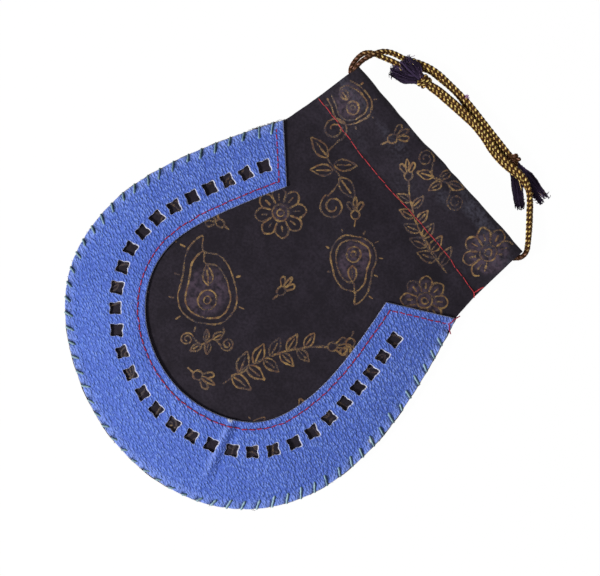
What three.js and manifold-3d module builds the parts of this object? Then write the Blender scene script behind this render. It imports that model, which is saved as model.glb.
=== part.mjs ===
// A flat drawstring pouch of dark cloth with a horseshoe band of punched leather on its front.
// It lies on its back: X runs across it, Y runs from the round bottom to the mouth, Z is up.
// Millimetres. The origin is under the middle of the pouch, on the surface it lies on.

import * as THREE from 'three';
import { mergeVertices } from 'three/addons/utils/BufferGeometryUtils.js';
import Module from 'manifold-3d';

const { lerp, smoothstep } = THREE.MathUtils;

// Outline of the pouch. Rises and drops are measured from the line where it is widest.
// A cheek is how much fuller than a plain oval the rim or the opening is at one lower corner.
const POUCH_WIDTH = 150;
const BOTTOM_DROP = 68.7;
const BOTTOM_SHIFT = 4;
const SIDE_FULLNESS = 27.7;
const SHOULDER_RISE = 73;
const SHOULDER_WIDTH = 109;
const SEAM_RISE = 88;
const MOUTH_WIDTH = 104;
const MOUTH_RISE_LEFT = 111.2;
const MOUTH_RISE_RIGHT = 113.2;
const RIM_LEFT_CHEEK = 0.045;

// Opening of the leather band
const OPENING_LEFT = 45.3;
const OPENING_RIGHT = 41;
const OPENING_LINE = 6.7;
const OPENING_DROP = 40.7;
const OPENING_FULLNESS = 16.8;
const OPENING_TOP_WIDTH = 64.6;
const OPENING_TOP_RISE = 49.2;
const OPENING_RIGHT_CHEEK = 0.07;

// Sheets, and the gap between sheets and pieces that touch
const CLOTH = 0.8;
const LEATHER = 1.2;
const GAP = 0.3;

// Hollow: how far the front stands off the back, and how far the mouth stands open
const CROWN = 9.6;
const CROWN_POWER = 2.5;
const MOUTH_OPEN = 5.6;

// Punched holes of the band: four-pointed, in one row along the opening.
// The row is punched by hand: its distances from the opening, and how far the holes drift
// towards its start, are read at even steps along it.
const HOLE_COUNT = 31;
const HOLE_SIZE = 6.7;
const HOLE_WAIST = 4.3;
const HOLE_ROW = [10.5, 10.4, 10.8, 12.4, 12.4, 12.6, 12, 11.8, 11];
const HOLE_DRIFT = [0, 2.3, 3.4, 3.9, 1.1, -0.2, -0.4, -1.4, 0.2];
const HOLE_ROW_START = 6.5;
const HOLE_ROW_END = 11;

// Lacing: a thread whipped round the rim through a row of holes
const LACE = 1.1;
const LACE_PLAY = 0.25;
const LACE_PITCH = 6.4;
const LACE_DEPTH = 4.4;
const LACE_SLANT = 2;
const LACE_OVERHANG = 1;
const LACE_START = 6.5;
const FLOOR_GAP = 0.15;

// Sewn seams
const BAND_THREAD = 0.8;
const BAND_SEAM_INSET = 3.1;
const BAND_SEAM_STEP = 4.5;
const CASING_THREAD = 0.7;
const SIDE_THREAD = 0.5;
const SIDE_SEAM_INSET = 2.2;
const SEAM_END = 1.5;

// Casing for the cords: the cloth is folded to the inside and sewn down
const CORD = 2.6;
const CORD_PLAY = 0.4;
const HEM_ALLOWANCE = 3;
const HEM_SETBACK = 8;
const CORNER_CUT = 4;
const LANE_STEP = 7.5;

// Knots and frayed ends
const LEFT_KNOT = { place: [23.3, 114, 3], size: [8, 6.6, 5.6] };
const RIGHT_KNOT = { place: [-28, 105.8, 3], size: [7.2, 6.6, 5.6] };
const LEFT_TAIL_1 = { root: [25.95, 111.45], tip: [38.8, 103], height: 0.15, tipWidth: 5 };
const LEFT_TAIL_2 = { root: [27.1, 113.8], tip: [43.2, 114], height: 0.15, tipWidth: 5.4 };
const RIGHT_TAIL_1 = { root: [-32.1, 106.4], tip: [-40.6, 103.8], height: 2.9, tipWidth: 5 };
const RIGHT_TAIL_2 = { root: [-31.25, 104.6], tip: [-41, 99], height: 0.15, tipWidth: 5 };
const TAIL_THICKNESS = 1.4;
const TAIL_ROOT_WIDTH = 2.2;
const TAIL_TUFTS = 4;
const TAIL_NOTCH = 0.82;

// Free runs of the cords, from where they leave the casing to their knot
const LEFT_FRONT_ROUTE = [
  [-48.8, 87.4, 8.6], [-50.5, 89.8, 8.2], [-51.2, 93, 7.2], [-51.2, 95.9, 6.3], [-50.4, 99, 5.2],
  [-49.3, 101.8, 3.9], [-47.5, 104, 2.5], [-45.2, 105.6, 1.6], [-42.6, 106.8, 1.35],
  [-40.4, 107.9, 1.35], [-35.9, 111.2, 1.35], [-31.2, 113.4, 1.35], [-26.2, 114.6, 1.35],
  [-20.6, 115.7, 1.4], [-14.9, 115.9, 2.5], [-8.6, 115, 4.1], [-0.8, 114.7, 4.15],
  [5.9, 114.6, 4.15], [13.1, 114.4, 4.25], [18.9, 114.3, 4.35],
];
const LEFT_BACK_ROUTE = [
  [-49.2, 87.5, 2.5], [-51.8, 88.9, 2.3], [-53.3, 91.2, 1.9], [-53.9, 93.8, 1.6], [-53.5, 96.4, 1.4],
  [-51.7, 98.7, 1.35], [-48.2, 100.6, 1.35], [-44.2, 102.6, 1.35], [-40.7, 104.2, 1.35],
  [-38.6, 105.4, 1.35], [-34.4, 108.4, 1.35], [-30.2, 110.4, 1.35], [-25.6, 111.6, 1.35],
  [-20, 112.7, 1.35], [-14.9, 113.4, 1.35], [-8.6, 113.8, 1.35], [-0.8, 113.8, 1.35],
  [5.9, 113.7, 1.35], [13.1, 113.6, 1.45], [18.9, 113.6, 1.6],
];
const RIGHT_FRONT_ROUTE = [
  [53.2, 87.8, 7.9], [54.6, 90.5, 7.4], [54, 93.4, 6.8], [51.9, 96, 6.1], [48.8, 99.2, 5.1],
  [45.6, 102.3, 4.4], [42.4, 105.2, 4.2], [39.4, 107.8, 4.5], [36, 110, 5.2], [32, 111.2, 5.9],
  [27.4, 110.1, 6.1], [22, 109.1, 5.7], [17, 109.6, 4.8], [12, 110.3, 4.2], [6.2, 110.6, 4.15],
  [-0.4, 110.7, 4.15], [-5, 110.8, 3.9], [-10.3, 111, 2.6], [-15.8, 110.4, 1.5],
  [-20.7, 109.2, 1.4], [-24.1, 107.4, 1.7],
];
const RIGHT_BACK_ROUTE = [
  [53.2, 87.6, 2], [55, 90.3, 1.6], [54.8, 93.4, 1.4], [52.7, 96.2, 1.35], [49.6, 99.6, 1.35],
  [46.4, 102.8, 1.35], [43.2, 105.7, 1.35], [40.2, 108.2, 1.6], [36.6, 110.3, 2.3], [32.2, 111.3, 3.1],
  [27.4, 109.7, 3.3], [22, 108.5, 2.9], [17, 108.8, 2], [12, 109.4, 1.45], [6.2, 109.7, 1.35],
  [-0.4, 109.8, 1.35], [-5, 109.6, 1.35], [-10.3, 108.6, 1.35], [-15.8, 107.4, 1.35],
  [-20.7, 106.2, 1.4], [-24.1, 104.4, 1.7],
];

// Where each cord leaves its lane in the casing
const LEFT_LANE_END = 46;
const RIGHT_LANE_END = 50;

// Places that follow from the sizes above
const RIM_LIFT = FLOOR_GAP + LACE + LACE_PLAY;
const SEAM_LIFT = FLOOR_GAP + CASING_THREAD + GAP;
const WIDEST_Y = (BOTTOM_DROP + LACE_OVERHANG + LACE / 2 - MOUTH_RISE_RIGHT) / 2;
const SHOULDER_Y = WIDEST_Y + SHOULDER_RISE;
const SEAM_Y = WIDEST_Y + SEAM_RISE;
const MOUTH_HALF = MOUTH_WIDTH / 2;
const CASING_CLEAR = CORD + 2 * CORD_PLAY;
const CASING_FULL = CLOTH + 2 * CORD + 3 * CORD_PLAY;
const FOLD_RADIUS = (CASING_CLEAR + CLOTH) / 2;
const FOLD_DEPTH = FOLD_RADIUS + CLOTH / 2;
const UPPER_LANE = FOLD_DEPTH;
const LOWER_LANE = UPPER_LANE + CORD + CORD_PLAY;

// Shares of the half width at which the sheets have a line of points, and where the rim lifts
const COLUMNS = [-1, -0.91, -0.78, -0.52, -0.26, 0, 0.26, 0.52, 0.78, 0.91, 1];
const LIFT_FROM = 0.78;
const LIFT_TO = 0.9;
const SEAM_RIDGE = 7;
const SIDE_STEPS = 6;
const BOTTOM_STEPS = 20;
const BAND_STEP = 11.5;
const BAND_COLUMNS = Math.ceil((POUCH_WIDTH / 2 - OPENING_RIGHT) / BAND_STEP);
const HOLE_CUT_DEPTH = 40;
const TURN_STEPS = 6;
const CORD_SIDES = 8;
const THREAD_SIDES = 4;
const KNOT_SIDES = 12;
const KNOT_RINGS = 8;
const MERGE = 1e-4;

const LOOKS = {
  backCloth: { color: 0x26222a, roughness: 0.9 },
  frontCloth: { color: 0x2a262e, roughness: 0.9 },
  leather: { color: 0x5a78d8, roughness: 0.55 },
  lace: { color: 0x86aab0, roughness: 0.8 },
  bandThread: { color: 0xb02850, roughness: 0.7 },
  casingThread: { color: 0xd23c46, roughness: 0.7 },
  sideThread: { color: 0x222026, roughness: 0.9 },
  braid: { color: 0x6a4c1e, roughness: 0.5 },
  fray: { color: 0x2a2030, roughness: 0.9 },
};

const wasm = await Module();
wasm.setup();

// A horseshoe line: down the left side from its horn, round the bottom, up the right side.
class Horseshoe extends THREE.Curve {
  constructor(sizes) {
    super();
    Object.assign(this, sizes);
  }

  getPoint(share) {
    const along = share * 3;
    if (along < 1 || along > 2) {
      const side = along < 1 ? -1 : 1;
      const climb = along < 1 ? 1 - along : along - 2;
      const half = along < 1 ? this.left : this.right;
      const x = lerp(half, this.hornHalf, climb * climb);
      const y = 2 * climb * (1 - climb) * this.fullness + climb * climb * this.hornRise;
      return new THREE.Vector2(side * x, this.line + y);
    }
    const turn = (along - 1) * Math.PI;
    const half = turn < Math.PI / 2 ? this.left : this.right;
    const cheek = turn < Math.PI / 2 ? this.leftCheek : this.rightCheek;
    const fuller = 1 + cheek * Math.sin(2 * turn) ** 2;
    const x = this.shift * Math.sin(turn) - half * fuller * Math.cos(turn);
    return new THREE.Vector2(x, this.line - this.drop * Math.sin(turn));
  }
}

// A value between those of a list that stand at even steps.
function readList(values, share) {
  const place = share * (values.length - 1);
  const step = Math.min(Math.floor(place), values.length - 2);
  return lerp(values[step], values[step + 1], place - step);
}

// A line outside a horseshoe line, at distances that are given at even steps along it.
class OutsideRow extends THREE.Curve {
  constructor(base, distances) {
    super();
    this.base = base;
    this.distances = distances;
  }

  getPoint(share) {
    const distance = readList(this.distances, share);
    return this.base.getPoint(share).addScaledVector(outward(this.base, share), distance);
  }
}

// A path that steps exactly from point to point.
class PointPath extends THREE.Curve {
  constructor(points) {
    super();
    this.points = points;
  }

  getUtoTmapping(share) {
    return share;
  }

  getPoint(share) {
    const steps = this.points.length - 1;
    const at = Math.min(Math.floor(share * steps), steps - 1);
    return new THREE.Vector3().lerpVectors(this.points[at], this.points[at + 1], share * steps - at);
  }
}

const rim = new Horseshoe({
  left: POUCH_WIDTH / 2,
  right: POUCH_WIDTH / 2,
  line: WIDEST_Y,
  drop: BOTTOM_DROP,
  shift: BOTTOM_SHIFT,
  leftCheek: RIM_LEFT_CHEEK,
  rightCheek: 0,
  fullness: SIDE_FULLNESS,
  hornHalf: SHOULDER_WIDTH / 2,
  hornRise: SHOULDER_RISE,
});

const opening = new Horseshoe({
  left: OPENING_LEFT,
  right: OPENING_RIGHT,
  line: WIDEST_Y + OPENING_LINE,
  drop: OPENING_DROP,
  shift: 0,
  leftCheek: 0,
  rightCheek: OPENING_RIGHT_CHEEK,
  fullness: OPENING_FULLNESS,
  hornHalf: OPENING_TOP_WIDTH / 2,
  hornRise: OPENING_TOP_RISE,
});

// The direction away from the inside of a horseshoe line.
function outward(line, share) {
  const along = line.getTangent(share);
  return new THREE.Vector2(along.y, -along.x);
}

// The outline's half width at a height above its widest line.
function halfWidth(y) {
  const rise = y - WIDEST_Y;
  if (rise > SHOULDER_RISE) {
    const share = (rise - SHOULDER_RISE) / (MOUTH_RISE_RIGHT - SHOULDER_RISE);
    return lerp(SHOULDER_WIDTH, MOUTH_WIDTH, share) / 2;
  }
  const bend = SHOULDER_RISE - 2 * SIDE_FULLNESS;
  const climb = rise / (SIDE_FULLNESS + Math.sqrt(SIDE_FULLNESS ** 2 + bend * rise));
  return lerp(POUCH_WIDTH, SHOULDER_WIDTH, climb * climb) / 2;
}

// How near a place is to the edge of the pouch: 0 in the middle, 1 on the edge.
function edgeShare(x, y) {
  if (y >= WIDEST_Y) {
    return Math.min(1, Math.abs(x) / halfWidth(y));
  }
  const depth = (WIDEST_Y - y) / BOTTOM_DROP;
  return Math.min(1, Math.hypot((x - BOTTOM_SHIFT * depth) / (POUCH_WIDTH / 2), depth));
}

// Top edge of the mouth, which slopes up to the right.
function mouthTop(x) {
  const mid = WIDEST_Y + (MOUTH_RISE_LEFT + MOUTH_RISE_RIGHT) / 2;
  return mid + (x / MOUTH_WIDTH) * (MOUTH_RISE_RIGHT - MOUTH_RISE_LEFT);
}

// Heights of the faces of the stacked sheets
const rimLift = (y) => RIM_LIFT * (1 - smoothstep(y, SHOULDER_Y, SEAM_Y));
const seamLift = (y) => SEAM_LIFT * (1 - smoothstep(Math.abs(y - SEAM_Y), 0, SEAM_RIDGE));
const backUnder = (x, y) => rimLift(y) * smoothstep(edgeShare(x, y), LIFT_FROM, LIFT_TO) + seamLift(y);
const crown = (x, y) => CROWN * (1 - edgeShare(x, y) ** CROWN_POWER);
const frontUnder = (x, y) => rimLift(y) + seamLift(y) + CLOTH + GAP + crown(x, y);
const frontTop = (x, y) => frontUnder(x, y) + CLOTH;
const leatherUnder = (x, y) => frontTop(x, y) + GAP;
const leatherTop = (x, y) => leatherUnder(x, y) + LEATHER;

// Height of the middle of the cord space in each casing
const BACK_CASING_MID = CLOTH + CASING_CLEAR / 2;
const CASING_HEIGHT = CASING_CLEAR + 2 * CLOTH;
function frontCasingMid(x) {
  const share = Math.min(1, Math.abs(x) / MOUTH_HALF);
  return CASING_HEIGHT + GAP + CASING_HEIGHT / 2 + MOUTH_OPEN * (1 - share * share);
}

// A closed mesh from points and faces, without the faces that close up to a line.
function closedGeometry(points, faces) {
  const loose = new THREE.BufferGeometry().setFromPoints(points);
  loose.setIndex(faces.flat());
  const merged = mergeVertices(loose, MERGE);
  const kept = [];
  for (let i = 0; i < merged.index.count; i += 3) {
    const [a, b, c] = merged.index.array.slice(i, i + 3);
    if (a !== b && b !== c && c !== a) {
      kept.push(a, b, c);
    }
  }
  merged.setIndex(kept);
  return merged;
}

// A sheet with thickness from rows of [upper, lower] point pairs.
function sheetGeometry(rows) {
  const columns = rows[0].length;
  const lastRow = rows.length - 1;
  const lastColumn = columns - 1;
  const points = rows.flat(2);
  const faces = [];
  const upper = (i, j) => 2 * (i * columns + j);
  const lower = (i, j) => upper(i, j) + 1;
  const quad = (a, b, c, d) => faces.push([a, b, c], [a, c, d]);
  for (let i = 0; i < lastRow; i += 1) {
    for (let j = 0; j < lastColumn; j += 1) {
      quad(upper(i, j), upper(i, j + 1), upper(i + 1, j + 1), upper(i + 1, j));
      quad(lower(i, j), lower(i + 1, j), lower(i + 1, j + 1), lower(i, j + 1));
    }
    quad(upper(i, 0), upper(i + 1, 0), lower(i + 1, 0), lower(i, 0));
    quad(lower(i, lastColumn), lower(i + 1, lastColumn), upper(i + 1, lastColumn), upper(i, lastColumn));
  }
  for (let j = 0; j < lastColumn; j += 1) {
    quad(lower(0, j), lower(0, j + 1), upper(0, j + 1), upper(0, j));
    quad(upper(lastRow, j), upper(lastRow, j + 1), lower(lastRow, j + 1), lower(lastRow, j));
  }
  return closedGeometry(points, faces);
}

// A point pair of a sheet: its middle, the direction of its upper face in Y and Z, its thickness.
function sheetPair(x, y, z, faceY, faceZ, thickness) {
  const half = thickness / 2;
  return [
    new THREE.Vector3(x, y + faceY * half, z + faceZ * half),
    new THREE.Vector3(x, y - faceY * half, z - faceZ * half),
  ];
}

// A solid for cutting, from a closed geometry.
function solidFrom(geometry) {
  const bare = geometry.clone();
  bare.deleteAttribute('normal');
  bare.deleteAttribute('uv');
  const merged = mergeVertices(bare, MERGE);
  const vertProperties = merged.attributes.position.array;
  const triVerts = new Uint32Array(merged.index.array);
  return new wasm.Manifold(new wasm.Mesh({ numProp: 3, vertProperties, triVerts }));
}

// The geometry with every cutter taken out of it.
function cutGeometry(geometry, cutters) {
  const cut = cutters.reduce((solid, cutter) => solid.subtract(solidFrom(cutter)), solidFrom(geometry));
  const mesh = cut.getMesh();
  const result = new THREE.BufferGeometry();
  result.setAttribute('position', new THREE.BufferAttribute(mesh.vertProperties, 3));
  result.setIndex(new THREE.BufferAttribute(mesh.triVerts, 1));
  return result;
}

// An upright cutter of a given outline, turned to a direction at a place.
function uprightCutter(outline, place, direction) {
  const cutter = new THREE.ExtrudeGeometry(outline, {
    depth: HOLE_CUT_DEPTH,
    bevelEnabled: false,
    curveSegments: 2,
  });
  cutter.translate(0, 0, -HOLE_CUT_DEPTH / 2);
  cutter.rotateZ(Math.atan2(direction.y, direction.x));
  cutter.translate(place.x, place.y, 0);
  return cutter;
}

// A round or faceted tube that follows points.
function tubeGeometry(points, diameter, sides) {
  const corner = new THREE.Vector2(diameter / 2, 0);
  const section = new THREE.Shape(Array.from({ length: sides }, (_, i) => (
    corner.clone().rotateAround(new THREE.Vector2(), (i / sides) * 2 * Math.PI)
  )));
  return new THREE.ExtrudeGeometry(section, {
    steps: points.length - 1,
    extrudePath: new PointPath(points),
  });
}

function piece(name, geometry, look) {
  const mesh = new THREE.Mesh(geometry, new THREE.MeshStandardMaterial(look));
  mesh.name = name;
  return mesh;
}

// Where the lacing goes through the rim, and where it goes round the edge
const rimLength = rim.getLength();
const laceCount = Math.floor((rimLength - 2 * LACE_START) / LACE_PITCH) + 1;
const laceStitches = Array.from({ length: laceCount }, (_, i) => {
  const holeShare = rim.getUtoTmapping((LACE_START + i * LACE_PITCH) / rimLength);
  const rimShare = rim.getUtoTmapping((LACE_START + i * LACE_PITCH - LACE_SLANT) / rimLength);
  return {
    hole: rim.getPoint(holeShare).addScaledVector(outward(rim, holeShare), -LACE_DEPTH),
    along: rim.getTangent(holeShare),
    edge: rim.getPoint(rimShare),
    out: rim.getPoint(rimShare).addScaledVector(outward(rim, rimShare), LACE_OVERHANG),
  };
});

function laceCutters() {
  const half = LACE / 2 + LACE_PLAY;
  const square = new THREE.Shape();
  square.moveTo(-half, -half);
  square.lineTo(half, -half);
  square.lineTo(half, half);
  square.lineTo(-half, half);
  return laceStitches.map(({ hole, along }) => uprightCutter(square, hole, along));
}

// Rows of a panel from the bottom of the pouch up to the casing seam
function bodyRows(middle) {
  const shares = [];
  for (let i = 0; i <= BOTTOM_STEPS / 2; i += 1) {
    shares.push(0.5 - i / BOTTOM_STEPS / 3);
  }
  for (let i = 1; i <= SIDE_STEPS; i += 1) {
    shares.push((1 - i / SIDE_STEPS) / 3);
  }
  const ends = shares.map((share) => [rim.getPoint(share), rim.getPoint(1 - share)]);
  for (const y of [(SHOULDER_Y + SEAM_Y) / 2, SEAM_Y]) {
    ends.push([new THREE.Vector2(-halfWidth(y), y), new THREE.Vector2(halfWidth(y), y)]);
  }
  return ends.map(([left, right]) => COLUMNS.map((column) => {
    const x = lerp(left.x, right.x, (column + 1) / 2);
    return sheetPair(x, left.y, middle(x, left.y), 0, 1, CLOTH);
  }));
}

// Rows of the casing: up the outside, round the fold at the mouth, down the inside past the seam.
// side is 1 for the front, whose outside is up, and -1 for the back.
function casingRows(side, outerMiddle, casingMid) {
  const seamHalf = halfWidth(SEAM_Y);
  const seamSpread = (CLOTH + GAP) / 2;
  const rows = [];
  const addRow = (left, right, place) => rows.push(COLUMNS.map((column) => {
    const x = lerp(left, right, (column + 1) / 2);
    const { y, z, faceY, faceZ } = place(x);
    return sheetPair(x, y, z, faceY, faceZ, CLOTH);
  }));
  const layer = (climb, outer) => (x) => {
    const ease = smoothstep(climb, 0, 1);
    const spread = lerp(seamSpread, FOLD_RADIUS, ease);
    const mid = lerp(outerMiddle(x, SEAM_Y) - side * seamSpread, casingMid(x), ease);
    return {
      y: lerp(SEAM_Y, mouthTop(x) - CASING_FULL, climb),
      z: mid + side * outer * spread,
      faceY: 0,
      faceZ: outer,
    };
  };
  const fold = (angle) => (x) => ({
    y: mouthTop(x) - FOLD_DEPTH + FOLD_RADIUS * Math.cos(angle),
    z: casingMid(x) + side * FOLD_RADIUS * Math.sin(angle),
    faceY: side * Math.cos(angle),
    faceZ: Math.sin(angle),
  });
  const hemHalf = MOUTH_HALF - HEM_SETBACK;
  const allowance = (x) => ({
    y: SEAM_Y - HEM_ALLOWANCE,
    z: outerMiddle(x, SEAM_Y - HEM_ALLOWANCE) - side * 2 * seamSpread,
    faceY: 0,
    faceZ: -1,
  });
  addRow(-(seamHalf + MOUTH_HALF) / 2, (seamHalf + MOUTH_HALF) / 2, layer(0.5, 1));
  addRow(-MOUTH_HALF, MOUTH_HALF, layer(1, 1));
  addRow(-(MOUTH_HALF - CORNER_CUT), MOUTH_HALF, fold(Math.PI / 2));
  addRow(-(MOUTH_HALF - CORNER_CUT), MOUTH_HALF, fold(Math.PI / 4));
  addRow(-(MOUTH_HALF - CORNER_CUT), MOUTH_HALF, fold(0));
  for (const angle of [-Math.PI / 4, -Math.PI / 2]) {
    addRow(-hemHalf, hemHalf, fold(angle));
  }
  for (const climb of [1, 0.5, 0]) {
    addRow(-hemHalf, hemHalf, layer(climb, -1));
  }
  addRow(-hemHalf, hemHalf, allowance);
  return rows;
}

function backPanel() {
  const middle = (x, y) => backUnder(x, y) + CLOTH / 2;
  const rows = [...bodyRows(middle), ...casingRows(-1, middle, () => BACK_CASING_MID)];
  return piece('back_panel', cutGeometry(sheetGeometry(rows), laceCutters()), LOOKS.backCloth);
}

function frontPanel() {
  const middle = (x, y) => frontUnder(x, y) + CLOTH / 2;
  const rows = [...bodyRows(middle), ...casingRows(1, middle, frontCasingMid)];
  return piece('front_panel', cutGeometry(sheetGeometry(rows), laceCutters()), LOOKS.frontCloth);
}

// Four drawn-out points with hollow sides between them
function starOutline() {
  const star = new THREE.Shape();
  const corner = (turn) => new THREE.Vector2(HOLE_SIZE / 2, 0).rotateAround(new THREE.Vector2(), turn);
  const quarter = Math.PI / 2;
  star.moveTo(corner(quarter / 2).x, corner(quarter / 2).y);
  for (let i = 0; i < 4; i += 1) {
    const end = corner(quarter * (i + 1.5));
    const chord = HOLE_SIZE / 2 / Math.SQRT2;
    const side = quarter * (i + 1);
    const pull = new THREE.Vector2(HOLE_WAIST - chord, 0).rotateAround(new THREE.Vector2(), side);
    star.quadraticCurveTo(pull.x, pull.y, end.x, end.y);
  }
  return star;
}

function starCutters() {
  const row = new OutsideRow(opening, HOLE_ROW);
  const length = row.getLength();
  const pitch = (length - HOLE_ROW_START - HOLE_ROW_END) / (HOLE_COUNT - 1);
  const outline = starOutline();
  return Array.from({ length: HOLE_COUNT }, (_, i) => {
    const drift = readList(HOLE_DRIFT, i / (HOLE_COUNT - 1));
    const share = (HOLE_ROW_START + i * pitch - drift) / length;
    return uprightCutter(outline, row.getPointAt(share), row.getTangentAt(share));
  });
}

function leatherBand() {
  const shares = [];
  for (let i = 0; i < SIDE_STEPS; i += 1) {
    shares.push(i / SIDE_STEPS / 3);
  }
  for (let i = 0; i <= BOTTOM_STEPS; i += 1) {
    shares.push((1 + i / BOTTOM_STEPS) / 3);
  }
  for (let i = 1; i <= SIDE_STEPS; i += 1) {
    shares.push((2 + i / SIDE_STEPS) / 3);
  }
  const rows = shares.map((share) => Array.from({ length: BAND_COLUMNS + 1 }, (_, j) => {
    const { x, y } = opening.getPoint(share).lerp(rim.getPoint(share), j / BAND_COLUMNS);
    return sheetPair(x, y, leatherUnder(x, y) + LEATHER / 2, 0, 1, LEATHER);
  }));
  const cutters = [...starCutters(), ...laceCutters()];
  return piece('leather_band', cutGeometry(sheetGeometry(rows), cutters), LOOKS.leather);
}

// Over the front from the edge to a hole, down through it, and under the back to the next turn
function edgeLacing() {
  const above = LACE_PLAY + LACE / 2;
  const points = laceStitches.flatMap(({ hole, edge, out }) => [
    new THREE.Vector3(out.x, out.y, backUnder(edge.x, edge.y) - LACE / 2),
    new THREE.Vector3(out.x, out.y, leatherTop(edge.x, edge.y) + LACE / 2),
    new THREE.Vector3(hole.x, hole.y, leatherTop(hole.x, hole.y) + above),
    new THREE.Vector3(hole.x, hole.y, backUnder(hole.x, hole.y) - above),
  ]);
  return piece('edge_lacing', tubeGeometry(points, LACE, THREAD_SIDES), LOOKS.lace);
}

// Along one end edge of the band, from near the rim to the corner by the opening
function bandSeamEnd(share) {
  const inner = opening.getPoint(share);
  const outer = rim.getPoint(share);
  const edge = outer.clone().sub(inner).normalize();
  const side = opening.getTangent(share).multiplyScalar(share === 0 ? 1 : -1);
  const corner = inner.clone().add(
    edge.clone().add(side).multiplyScalar(BAND_SEAM_INSET / Math.abs(edge.cross(side))),
  );
  const reach = outer.clone().sub(corner).dot(edge) - SEAM_END;
  const count = Math.ceil(reach / BAND_SEAM_STEP);
  const points = Array.from({ length: count + 1 }, (_, i) => (
    corner.clone().addScaledVector(edge, reach * (1 - i / count))
  ));
  return { points, cornerRun: corner.clone().sub(inner).dot(side) };
}

function bandStitching() {
  const row = new OutsideRow(opening, [BAND_SEAM_INSET, BAND_SEAM_INSET]);
  const length = row.getLength();
  const left = bandSeamEnd(0);
  const right = bandSeamEnd(1);
  const run = length - left.cornerRun - right.cornerRun;
  const count = Math.round(run / BAND_SEAM_STEP);
  const between = Array.from({ length: count - 1 }, (_, i) => (
    row.getPointAt((left.cornerRun + (run * (i + 1)) / count) / length)
  ));
  const flat = [...left.points, ...between, ...right.points.reverse()];
  const above = GAP + BAND_THREAD / 2;
  const points = flat.map(({ x, y }) => new THREE.Vector3(x, y, leatherTop(x, y) + above));
  return piece('band_stitching', tubeGeometry(points, BAND_THREAD, THREAD_SIDES), LOOKS.bandThread);
}

// A straight seam across a panel, at the height that a function gives
function casingStitching(name, height) {
  const half = halfWidth(SEAM_Y) - SEAM_END;
  const points = COLUMNS.map((column) => new THREE.Vector3(column * half, SEAM_Y, height(column * half)));
  return piece(name, tubeGeometry(points, CASING_THREAD, THREAD_SIDES), LOOKS.casingThread);
}

// The hidden thread between the panels on one side, from the band up to the casing seam
function sideSeam(name, side) {
  const from = SHOULDER_Y + SEAM_END;
  const to = SEAM_Y - HEM_ALLOWANCE - SEAM_END;
  const points = [0, 0.5, 1].map((share) => {
    const y = lerp(from, to, share);
    const x = side * (halfWidth(y) - SIDE_SEAM_INSET);
    return new THREE.Vector3(x, y, (backUnder(x, y) + CLOTH + frontUnder(x, y)) / 2);
  });
  return piece(name, tubeGeometry(points, SIDE_THREAD, THREAD_SIDES), LOOKS.sideThread);
}

// A cord's run inside the casings: in through the back one, a turn at the far end, out through the
// front one. side is -1 for the cord that leaves at the left.
function casingRun(side, lane, from) {
  const turnEnd = MOUTH_HALF - GAP - CORD / 2;
  const laneY = (x) => mouthTop(x) - lane;
  const frontHeight = frontCasingMid(turnEnd - FOLD_RADIUS);
  const radius = (frontHeight - BACK_CASING_MID) / 2;
  const turnX = turnEnd - radius;
  const count = Math.round((from + turnX) / LANE_STEP);
  const along = Array.from({ length: count + 1 }, (_, i) => -side * lerp(-from, turnX, i / count));
  const turn = Array.from({ length: TURN_STEPS - 1 }, (_, i) => {
    const angle = ((i + 1) / TURN_STEPS) * Math.PI;
    const x = -side * (turnX + radius * Math.sin(angle));
    return new THREE.Vector3(x, laneY(x), BACK_CASING_MID + radius * (1 - Math.cos(angle)));
  });
  const back = along.map((x) => new THREE.Vector3(x, laneY(x), BACK_CASING_MID));
  const front = along.map((x) => new THREE.Vector3(x, laneY(x), frontCasingMid(x))).reverse();
  return [...back, ...turn, ...front];
}

function drawcord(name, backRoute, frontRoute, run) {
  const points = [
    ...backRoute.map((point) => new THREE.Vector3(...point)).reverse(),
    ...run,
    ...frontRoute.map((point) => new THREE.Vector3(...point)),
  ];
  return piece(name, tubeGeometry(points, CORD, CORD_SIDES), LOOKS.braid);
}

function knot(name, { place, size }) {
  const lump = new THREE.SphereGeometry(0.5, KNOT_SIDES, KNOT_RINGS);
  lump.scale(...size);
  const mesh = piece(name, lump, LOOKS.braid);
  mesh.position.set(...place);
  return mesh;
}

// A frayed cord end: a flat tuft that widens from the knot to a ragged tip
function tail(name, { root, tip, height, tipWidth }) {
  const start = new THREE.Vector2(...root);
  const reach = new THREE.Vector2(...tip).sub(start);
  const notch = reach.length() * TAIL_NOTCH;
  const edge = (share) => lerp(-tipWidth / 2, tipWidth / 2, share);
  const outline = new THREE.Shape();
  outline.moveTo(0, -TAIL_ROOT_WIDTH / 2);
  outline.lineTo(notch, -tipWidth / 2);
  for (let i = 0; i < TAIL_TUFTS; i += 1) {
    outline.lineTo(reach.length(), edge((i + 0.5) / TAIL_TUFTS));
    outline.lineTo(notch, edge((i + 1) / TAIL_TUFTS));
  }
  outline.lineTo(0, TAIL_ROOT_WIDTH / 2);
  const tuft = new THREE.ExtrudeGeometry(outline, { depth: TAIL_THICKNESS, bevelEnabled: false });
  const mesh = piece(name, tuft, LOOKS.fray);
  mesh.position.set(start.x, start.y, height);
  mesh.rotation.z = reach.angle();
  return mesh;
}

const pouch = new THREE.Group();
pouch.add(backPanel());
pouch.add(frontPanel());
pouch.add(leatherBand());
pouch.add(edgeLacing());
pouch.add(bandStitching());
const threadMiddle = CASING_THREAD / 2;
pouch.add(casingStitching('front_casing_stitching', (x) => frontTop(x, SEAM_Y) + GAP + threadMiddle));
pouch.add(casingStitching('back_casing_stitching', () => FLOOR_GAP + threadMiddle));
pouch.add(sideSeam('left_side_seam', -1));
pouch.add(sideSeam('right_side_seam', 1));

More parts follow.
